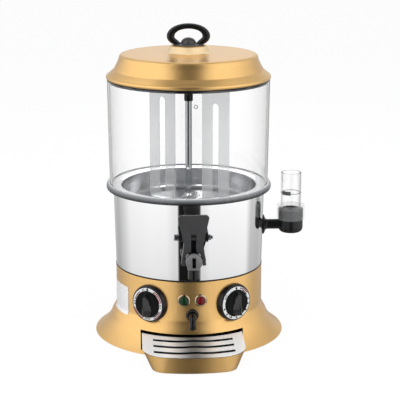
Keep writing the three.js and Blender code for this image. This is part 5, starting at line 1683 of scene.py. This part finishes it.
# Filler of the water bath on the right: elbow with its cup, clear collar and sight tube
filler = {
    "height": 161.0,
    "shell": 110.71,
    "axis": 153.71,
    "arm": 7.4,
    "armBore": 5.2,
    "armFrom": 88.0,
    "armTo": 150.0,
    "flange": 14.8,
    "cup": 18.5,
    "cupInner": 15.5,
    "cupBore": 15.4,
    "cupLow": -12.0,
    "cupFloor": -8.0,
    "cupHigh": 24.0,
    "tube": 15.1,
    "tubeInner": 13.3,
    "tubeLow": 153.3,
    "tubeHigh": 240.6,
}
fillerMount = facing(90, filler["height"])
armLine = [
    (0, filler["armFrom"]),
    (filler["arm"], filler["armFrom"]),
    (filler["arm"], 100.0),
    (filler["flange"], 100.0),
    (filler["flange"], 112.5),
    (12.8, 113.9),
    (9.0, 115.2),
    (7.5, 117.4),
    (filler["arm"], 120.0),
    (filler["arm"], filler["armTo"]),
    (0, filler["armTo"]),
]
elbowPiece = turned("fillerElbow", eased(armLine, 0.6), 64, blackAbs)
cut(elbowPiece, [bodyCore(filler["shell"] + 0.3)])
cupCurve = [(11.5, filler["cupLow"]), (14.6, -11.2), (16.9, -9.2), (18.2, -6.4), (filler["cup"], -3.0)]
cupLine = [
    (0, filler["cupLow"]),
    *flowing(cupCurve, 3),
    (filler["cup"], filler["cupHigh"]),
    (filler["cupInner"], filler["cupHigh"]),
    (filler["cupInner"], filler["cupFloor"]),
    (0, filler["cupFloor"]),
]
atCup = Matrix.Translation((0, 0, filler["axis"])) @ upright
cupPiece = moved(turned("cup", eased(cupLine, 0.5), 96, blackAbs), atCup)
cut(elbowPiece, [stick("spigot", filler["arm"], 84.8, 112), cupPiece], "UNION")
cupSpace = moved(stick("cupSpace", filler["cupBore"], filler["cupFloor"], 40, 64), atCup)
cut(elbowPiece, [cupSpace, stick("armBore", filler["armBore"], 70, filler["axis"], 32)])
place(elbowPiece, "machine", ["filler_elbow"], "black_plastic", finish=blackAbs, matrix=fillerMount)
atFiller = Matrix.Translation((filler["axis"], 0, 0))
tubeLine = band(filler["tubeInner"], filler["tube"], filler["tubeLow"], filler["tubeHigh"])
tubePiece = turned("sightTube", eased(tubeLine, 0.4), 96, clearAcrylic)
place(tubePiece, "machine", ["sight_tube"], "clear_plastic", matrix=atFiller)
# A printed ring round the tube marks the highest level, with a heavier dash on its left.
levelMark = {"ring": [15.05, 15.3, 209.6, 210.5], "dash": [15.35, 15.6, 208, 262, 207.9, 213.9]}
levelRing = turned("levelRing", band(*levelMark["ring"]), 96, greyInk)
place(levelRing, "machine", slot="black_plastic", matrix=atFiller)
levelDash = sector("levelDash", *levelMark["dash"])
place(levelDash, "machine", slot="black_plastic", finish=greyInk, matrix=atFiller)
fillerCollarLine = [
    (18.9, 169.0),
    (21.0, 169.0),
    (21.0, 191.0),
    (18.9, 191.0),
    (18.9, 187.1),
    (15.5, 187.1),
    (15.5, 185.3),
    (18.9, 185.3),
]
fillerCollar = turned("fillerCollar", eased(fillerCollarLine, 0.4), 96, hazyStyrene)
place(fillerCollar, "machine", ["filler_collar"], "clear_plastic", matrix=atFiller)

# Drain: grommet and bent spout
drain = {"height": 55.0, "radius": 5.3, "bore": 3.3, "from": 97.2, "out": 115.2, "bend": 9.5, "low": -16.5}
drainMount = facing(0, drain["height"])
grommetLine = [(5.6, 105.7), (9.3, 105.7), (9.3, 111.7), (8.6, 112.9), (7.3, 113.7), (5.6, 113.7)]
grommetPiece = turned("drainGrommet", eased(grommetLine, 0.6), 64, blackRubber)
cut(grommetPiece, [bodyCore(housing["neck"] + 0.3)])
place(grommetPiece, "machine", ["drain_grommet"], "rubber", matrix=drainMount)
spoutPath = [(0, 0, drain["from"]), (0, 0, 104), (0, 0, 110), (0, 0, drain["out"])]
spoutPath += [(0, y, z) for z, y in arc((drain["out"], -drain["bend"]), drain["bend"], 80, 0, 8)]
spoutPath += [(0, drain["low"], drain["out"] + drain["bend"])]
spoutPiece = swept("drainSpout", spoutPath, drain["radius"], drain["bore"], 32)
place(spoutPiece, "machine", ["drain_spout"], "black_plastic", finish=glossyPvc, matrix=drainMount)
print("stage: filler and drain")

# Controls: bezel, dial ring and knob, the same on both sides; only the marks on the dials differ.
control = {
    "angle": 33.5,
    "height": 68.5,
    "bezel": 28.0,
    "face": 26.4,
    "hole": 3.5,
    "back": 103.3,
    "front": 116.1,
    "hollowTop": 36.2,
    "ring": [20.0, 24.4, 116.4, 117.1],
    "markCircle": 22.2,
    "inkSink": 0.1,
    "inkStand": 0.08,
    "tickHalf": [1.4, 0.5],
    "knob": 19.5,
    "knobBack": 116.6,
    "knobBase": 120.6,
    "knobBore": 3.3,
    "knobBoreTop": 122.1,
    "gripSink": 0.3,
    "gripFront": 129.4,
    "gripLevels": 8,
    "gripSides": 40,
    "gripLong": 18.3,
    "gripTaper": 2.4,
    "gripRidge": 0.9,
    "gripFlank": 8.2,
}
markTree, markStart = newTree(
    "marksOnCircle",
    [
        ["Count", "NodeSocketInt", 8],
        ["Radius", "NodeSocketFloat", 22.2],
        ["First Angle", "NodeSocketFloat", 0.0],
        ["Step Angle", "NodeSocketFloat", 0.5],
        ["Finish", "NodeSocketMaterial", None],
    ],
)
markLine = addNode(markTree, "GeometryNodeMeshLine", links={"Count": markStart.outputs["Count"]})
markIndex = addNode(markTree, "GeometryNodeInputIndex")
markAngle = addNode(
    markTree,
    "ShaderNodeMath",
    {"operation": "MULTIPLY_ADD"},
    {0: markIndex.outputs[0], 1: markStart.outputs["Step Angle"], 2: markStart.outputs["First Angle"]},
)
markReach = addNode(markTree, "ShaderNodeCombineXYZ", links={"X": markStart.outputs["Radius"]})
markTurned = addNode(
    markTree,
    "ShaderNodeVectorRotate",
    {"rotation_type": "Z_AXIS"},
    {"Vector": markReach.outputs[0], "Angle": markAngle.outputs[0]},
)
markSpots = addNode(
    markTree,
    "GeometryNodeSetPosition",
    links={"Geometry": markLine.outputs[0], "Position": markTurned.outputs[0]},
)
markFacing = addNode(markTree, "ShaderNodeCombineXYZ", links={"Z": markAngle.outputs[0]})
markCopies = addNode(
    markTree,
    "GeometryNodeInstanceOnPoints",
    links={
        "Points": markSpots.outputs[0],
        "Instance": markStart.outputs["Geometry"],
        "Rotation": markFacing.outputs[0],
    },
)
closeTree(markTree, markStart, markCopies.outputs[0])

# Angles are counted from the right, anticlockwise, in degrees. An arc has two radii, two angles and its ink.
# A row of dots or ticks has a count, the first angle and the step, and dots have a radius too.
dialMarks = {
    "left": {
        "arcs": [
            [22.6, 24.1, 12, 62, "red"],
            [20.4, 21.7, 12, 64, "red"],
            [22.6, 24.1, 197, 250, "red"],
            [20.5, 21.8, 199, 246, "black"],
            [22.6, 24.0, 296, 340, "red"],
            [20.4, 21.7, 300, 336, "black"],
            [20.8, 22.2, 126, 166, "red"],
        ],
        "dots": [[1, 90, 0, 1.9]],
        "ticks": [[3, 174, 6], [3, -6, 6], [4, 260, 6], [2, 106, 6]],
    },
    "right": {
        "arcs": [[22.5, 24.0, 32, 66, "red"], [20.5, 21.8, 28, 60, "black"]],
        "dots": [[1, 90, 0, 1.8], [7, -165, 25.5, 1.4], [2, 8, 60, 1.3]],
        "ticks": [[4, 140, 5], [2, 236, 7]],
    },
}
for side, sign in (("left", -1), ("right", 1)):
    mount = facing(sign * control["angle"], control["height"])
    bezelLine = [
        (control["hole"], control["back"]),
        (control["bezel"], control["back"]),
        (control["bezel"], 111.4),
        (control["bezel"] - 0.4, 113.6),
        (control["face"], control["front"]),
        (control["hole"], control["front"]),
    ]
    bezelPiece = turned("controlBezel_" + side, eased(bezelLine, 0.9), 128, blackAbs)
    cut(bezelPiece, [bodyCore(housing["neck"] + 0.3, -60, control["hollowTop"])])
    place(bezelPiece, "machine", ["knob_bezel_" + side], "black_plastic", matrix=mount)

    ringPiece = turned("dialRing_" + side, eased(band(*control["ring"]), 0.25), 128, dialFoil)
    place(ringPiece, "machine", ["dial_" + side], "dial_foil", matrix=mount)

    # The ink stands just proud of the foil.
    low, high = control["ring"][3] - control["inkSink"], control["ring"][3] + control["inkStand"]
    marks = {"red": [], "black": []}
    chosen = dialMarks[side]
    for near, far, start, end, ink in chosen["arcs"]:
        marks[ink].append(sector("arc", near, far, start, end, low, high))
    rows = []
    for count, first, step, radius in chosen["dots"]:
        rows.append((stick("dot", radius, low, high, 14), count, first, step))
    long, wide = control["tickHalf"]
    for count, first, step in chosen["ticks"]:
        rows.append((block("tick", (-long, -wide, low), (long, wide, high)), count, first, step))
    for shape, count, first, step in rows:
        values = {
            "Count": count,
            "Radius": control["markCircle"],
            "First Angle": math.radians(first),
            "Step Angle": math.radians(step),
            "Finish": blackInk,
        }
        marks["black"].append(withTree(shape, markTree, values))
    for ink, finish in (("red", redInk), ("black", blackInk)):
        if marks[ink]:
            inkPiece = joined("dialMarks_%s_%s" % (side, ink), marks[ink])
            place(inkPiece, "machine", slot="dial_foil", finish=finish, matrix=mount)

    # The grip is a ridge with two sloping flanks, like a drop seen from the front.
    knobLine = [
        (0, control["knobBack"]),
        (control["knob"], control["knobBack"]),
        (control["knob"], control["knobBase"] - 1.3),
        (control["knob"] - 1.3, control["knobBase"]),
        (0, control["knobBase"]),
    ]
    knobPiece = turned("controlKnob_" + side, eased(knobLine, 0.6), 96, blackAbs)
    gripRings = []
    gripBack = control["knobBase"] - control["gripSink"]
    for level in range(control["gripLevels"] + 1):
        share = level / control["gripLevels"]
        height = gripBack + (control["gripFront"] - gripBack) * share
        long = control["gripLong"] - control["gripTaper"] * share
        across = control["gripRidge"] + control["gripFlank"] * (1 - share) ** 0.85
        ring = []
        for k in range(control["gripSides"]):
            turn = math.tau * k / control["gripSides"]
            x = squarish(math.cos(turn), 0.8) * across
            y = squarish(math.sin(turn), 0.6) * long
            # The grip narrows to a pointer at its upper end.
            x *= 1 - 0.84 * max((y / long + 0.45) / 1.45, 0) ** 1.1
            ring.append((x, y, height))
        gripRings.append(ring)
    grip = rounded(lofted("grip", gripRings), 0.9, 3, 50)
    cut(knobPiece, [grip], "UNION")
    cut(knobPiece, [stick("bore", control["knobBore"], 110, control["knobBoreTop"], 24)])
    coated(knobPiece, wornAbs, etchedAbs)
    for face in knobPiece.data.polygons:
        face.material_index = 1 if face.center.z < control["knobBase"] + 0.1 else 0
    place(knobPiece, side + "_control", ["knob_" + side], "black_plastic", matrix=mount)
print("stage: controls")

# Pilot lamps
lampFit = {
    "angle": 6.4,
    "height": 77.0,
    "hole": 6.5,
    "radius": 9.2,
    "back": 110.0,
    "front": 112.4,
    "lens": 6.2,
    "lensBack": 98.4,
    "lensDome": 3.2,
}
for hue, sign, finish in (("green", -1, greenLens), ("red", 1, redLens)):
    mount = facing(sign * lampFit["angle"], lampFit["height"])
    bezelLine = [
        (lampFit["hole"], lampFit["back"]),
        (lampFit["radius"], lampFit["back"]),
        (lampFit["radius"], lampFit["back"] + 0.9),
        (8.8, 111.6),
        (7.9, 112.3),
        (lampFit["hole"], lampFit["front"]),
    ]
    bezelPiece = turned("lampBezel_" + hue, eased(bezelLine, 0.3), 64, nickelPaintedGoldReflection)
    place(bezelPiece, "machine", ["lamp_bezel_" + hue], "polished_steel", matrix=mount)
    lensLine = [
        (0, lampFit["lensBack"]),
        (lampFit["lens"], lampFit["lensBack"]),
        (lampFit["lens"], lampFit["front"]),
        *dome(lampFit["lens"], lampFit["front"], lampFit["lensDome"], 10),
        (0, lampFit["front"] + lampFit["lensDome"]),
    ]
    lensPiece = turned("lampLens_" + hue, lensLine, 64, finish)
    place(lensPiece, "machine", ["lamp_lens_" + hue], hue + "_lens", matrix=mount)

# Cord gland at the back
gland = {"angle": 180, "height": 60}
glandLine = [
    (3.8, 105.2),
    (7.0, 105.2),
    (7.0, 110.0),
    (10.0, 110.0),
    (10.0, 112.7),
    (8.9, 113.6),
    (7.6, 114.4),
    (6.0, 118.7),
    (3.8, 118.7),
]
glandPiece = turned("cordGland", eased(glandLine, 0.6), 64, blackAbs)
place(glandPiece, "machine", ["cord_gland"], "black_plastic", matrix=facing(gland["angle"], gland["height"]))
print("stage: lamps and gland")

# Drip tray: bowed front, round corners, sides that lean in, stepped at the rear over the base plate
tray = {
    "half": 73.2,
    "front": 205.5,
    "corner": 42.0,
    "top": 24.0,
    "edge": 0.4,
    "back": 100.0,
    "taper": 13.0,
    "frontTaper": 1.5,
    "footCorner": 21.0,
    "wall": 1.6,
    "reach": 142.4,
    "step": 5.5,
    "cornerSteps": 12,
    "frontSteps": 32,
    "levels": 8,
}


def trayOutline(half, front, corner, backEdge):
    # From the right corner round the bowed front to the left one, and back along the rear
    centreX = half - corner
    centreY = -math.sqrt((front - corner) ** 2 - centreX ** 2)
    turnIn = math.atan2(centreY, centreX)
    right = []
    for i in range(tray["cornerSteps"] + 1):
        turn = turnIn * i / tray["cornerSteps"]
        right.append((centreX + corner * math.cos(turn), centreY + corner * math.sin(turn)))
    across = []
    for i in range(1, tray["frontSteps"]):
        turn = turnIn + (-math.pi - 2 * turnIn) * i / tray["frontSteps"]
        across.append((front * math.cos(turn), front * math.sin(turn)))
    return [*right, *across, *[(-x, y) for x, y in right[::-1]], *backEdge]


def trayRing(share, height, inset):
    # The share is 0 at the tray's edge and 1 at its foot.
    half = tray["half"] - tray["taper"] * share - inset
    front = tray["front"] - tray["frontTaper"] * share - inset
    corner = tray["corner"] + (tray["footCorner"] - tray["corner"]) * share - inset
    back = tray["back"] + inset
    outline = trayOutline(half, front, corner, [(-half, -back), (half, -back)])
    return [(x, y, height) for x, y in outline]


trayDepth = tray["top"] - tray["edge"]
trayRings = [trayRing(1, tray["edge"], 1.0), trayRing(0.985, tray["edge"] + 0.35, 0.3)]
for i in range(1, tray["levels"]):
    trayRings.append(trayRing(1 - i / tray["levels"], tray["edge"] + trayDepth * i / tray["levels"], 0))
trayRings += [trayRing(0.01, tray["top"] - 0.3, 0.0), trayRing(0, tray["top"], 0.35)]
trayPiece = lofted("dripTray", trayRings)
hollowFloor = trayRing(1 - tray["wall"] / trayDepth, tray["edge"] + tray["wall"], tray["wall"])
hollowTop = trayRing(-0.17, tray["top"] + 4, tray["wall"])
trayHollow = lofted("trayHollow", [hollowFloor, hollowTop])
stepLow = (-150, -tray["reach"] - tray["wall"], tray["edge"] - 1)
stepHigh = (150, 0, tray["step"] + tray["wall"])
cut(trayHollow, [block("keep", stepLow, stepHigh)])
cut(trayPiece, [trayHollow, block("rear", (-150, -tray["reach"], -4), (150, 0, tray["step"]))])
coated(trayPiece, goldFinish, darkPrimer)
for face in trayPiece.data.polygons:
    # Inside, the tray is painted near black: painted shade for its unlit hollow.
    middle = Vector((face.center.x, face.center.y + 150, 0)).normalized()
    within = tray["edge"] + 1 < face.center.z < tray["top"] - 0.1
    inside = within and (face.normal.z > 0.7 or face.normal.dot(middle) < -0.3)
    face.material_index = 1 if inside else 0
place(trayPiece, "tray", ["drip_tray"], "gold_paint", sharp=30)

# Grate: a thin plate on the tray's edge with three long slots, each bowed in two waves
grate = {
    "low": 24.3,
    "high": 25.1,
    "neck": 2.2,
    "first": 14.0,
    "slots": 3,
    "pitch": 24.8,
    "half": 57.5,
    "width": 9.4,
    "dip": 3.4,
    "rise": 7.5,
    "steps": 16,
}
grateNeck = reachAt(grate["low"]) + grate["neck"]
backTurn = math.asin(tray["half"] / grateNeck)
grateBack = [
    (grateNeck * math.sin(backTurn * (i / 12 - 1)), -grateNeck * math.cos(backTurn * (i / 12 - 1)))
    for i in range(25)
]
grateOutline = trayOutline(tray["half"], tray["front"], tray["corner"], grateBack)
gratePiece = prism("dripGrate", grateOutline, grate["low"], grate["high"])
slotTree, slotStart = newTree(
    "grateSlots",
    [
        ["Count", "NodeSocketInt", 3],
        ["Pitch", "NodeSocketFloat", 24.8],
        ["Start", "NodeSocketFloat", 0.0],
        ["Cutter", "NodeSocketObject", None],
        ["Finish", "NodeSocketMaterial", None],
    ],
)
slotStep = addNode(
    slotTree, "ShaderNodeMath", {"operation": "MULTIPLY", 1: -1.0}, {0: slotStart.outputs["Pitch"]}
)
slotOffset = addNode(slotTree, "ShaderNodeCombineXYZ", links={"Y": slotStep.outputs[0]})
slotBegin = addNode(
    slotTree, "ShaderNodeMath", {"operation": "MULTIPLY", 1: -1.0}, {0: slotStart.outputs["Start"]}
)
slotFirst = addNode(slotTree, "ShaderNodeCombineXYZ", links={"Y": slotBegin.outputs[0]})
slotSpots = addNode(
    slotTree,
    "GeometryNodeMeshLine",
    links={
        "Count": slotStart.outputs["Count"],
        "Start Location": slotFirst.outputs[0],
        "Offset": slotOffset.outputs[0],
    },
)
slotShape = addNode(slotTree, "GeometryNodeObjectInfo", links={"Object": slotStart.outputs["Cutter"]})
slotCopies = addNode(
    slotTree,
    "GeometryNodeInstanceOnPoints",
    links={"Points": slotSpots.outputs[0], "Instance": slotShape.outputs["Geometry"]},
)
slotSolid = addNode(slotTree, "GeometryNodeRealizeInstances", links={0: slotCopies.outputs[0]})
slotCut = addNode(
    slotTree,
    "GeometryNodeMeshBoolean",
    {"operation": "DIFFERENCE", "solver": "EXACT"},
    {0: slotStart.outputs["Geometry"], 1: slotSolid.outputs[0]},
)
closeTree(slotTree, slotStart, slotCut.outputs[0])
slotEdge = []
for i in range(2 * grate["steps"] + 1):
    share = i / grate["steps"] - 1
    bow = 1 - share ** 2
    peak = math.exp(-((share * 4) ** 2))
    slotEdge.append((share * grate["half"], grate["rise"] * share ** 2 - grate["dip"] * (bow - peak)))
halfWide = grate["width"] / 2
slotOutline = [(x, y - halfWide) for x, y in slotEdge] + [(x, y + halfWide) for x, y in slotEdge[::-1]]
slotCutter = prism("slotCutter", eased(slotOutline, 2.5, 4), 20, 30)
slotValues = {
    "Count": grate["slots"],
    "Pitch": grate["pitch"],
    "Start": grateNeck + grate["first"],
    "Cutter": slotCutter,
    "Finish": brushedSteel,
}
withTree(gratePiece, slotTree, slotValues)
bpy.data.objects.remove(slotCutter)
rounded(gratePiece, 0.18, 2)
place(gratePiece, "grate", ["drip_grate"], "polished_steel", finish=brushedSteel)
print("stage: tray and grate")

# Bare foil plate on the left flank of the housing, following the neck and the flare
foil = {
    "from": -84.0,
    "to": -57.0,
    "low": 40.5,
    "high": 83.0,
    "thick": 0.25,
    "stand": 0.15,
    "up": 40,
    "across": 24,
}
rows, columns = foil["up"] + 1, foil["across"] + 1
foilPoints = []
foilFaces = []
for layer in (foil["stand"], foil["stand"] + foil["thick"]):
    for i in range(rows):
        height = foil["low"] + (foil["high"] - foil["low"]) * i / foil["up"]
        radius = reachAt(height) + layer
        for k in range(columns):
            turn = math.radians(foil["from"] + (foil["to"] - foil["from"]) * k / foil["across"] - 90)
            foilPoints.append((radius * math.cos(turn), radius * math.sin(turn), height))
for layer in range(2):
    for i in range(rows - 1):
        for k in range(columns - 1):
            a = layer * rows * columns + i * columns + k
            foilFaces.append((a, a + 1, a + columns + 1, a + columns))
# The plate's thin sides follow its outline, once round.
rim = list(range(columns))
rim += [i * columns + columns - 1 for i in range(1, rows)]
rim += [(rows - 1) * columns + k for k in range(columns - 2, -1, -1)]
rim += [i * columns for i in range(rows - 2, 0, -1)]
for i, a in enumerate(rim):
    b = rim[(i + 1) % len(rim)]
    foilFaces.append((a, b, b + rows * columns, a + rows * columns))
foilPiece = tidyNormals(meshFrom("bareFoilPlate", foilPoints, foilFaces))
place(foilPiece, "machine", slot="dial_foil", finish=silverFoil)

# What stays as the CAD has it gets its own finish
kept = {
    "base_plate": plainSteel,
    "bath_tank": plainSteel,
    "lid_handle_screw": zincSteel,
    "drive_shaft": plainSteel,
    "shaft_bush": sinteredBronze,
    "gear_motor": plainSteel,
    "heating_element": plainSteel,
    "outlet_elbow": plainSteel,
    "tap_plug": whiteSilicone,
    "tap_plunger": plainSteel,
    "tap_spring": zincSteel,
    "filler_nut": darkNylon,
    "drain_pipe": plainSteel,
    "spindle_left": zincSteel,
    "spindle_right": zincSteel,
    "thermostat": darkNylon,
    "regulator": darkNylon,
}
for node, finish in kept.items():
    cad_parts[node].material_slots[0].material = finish

print("stage: finished pieces")
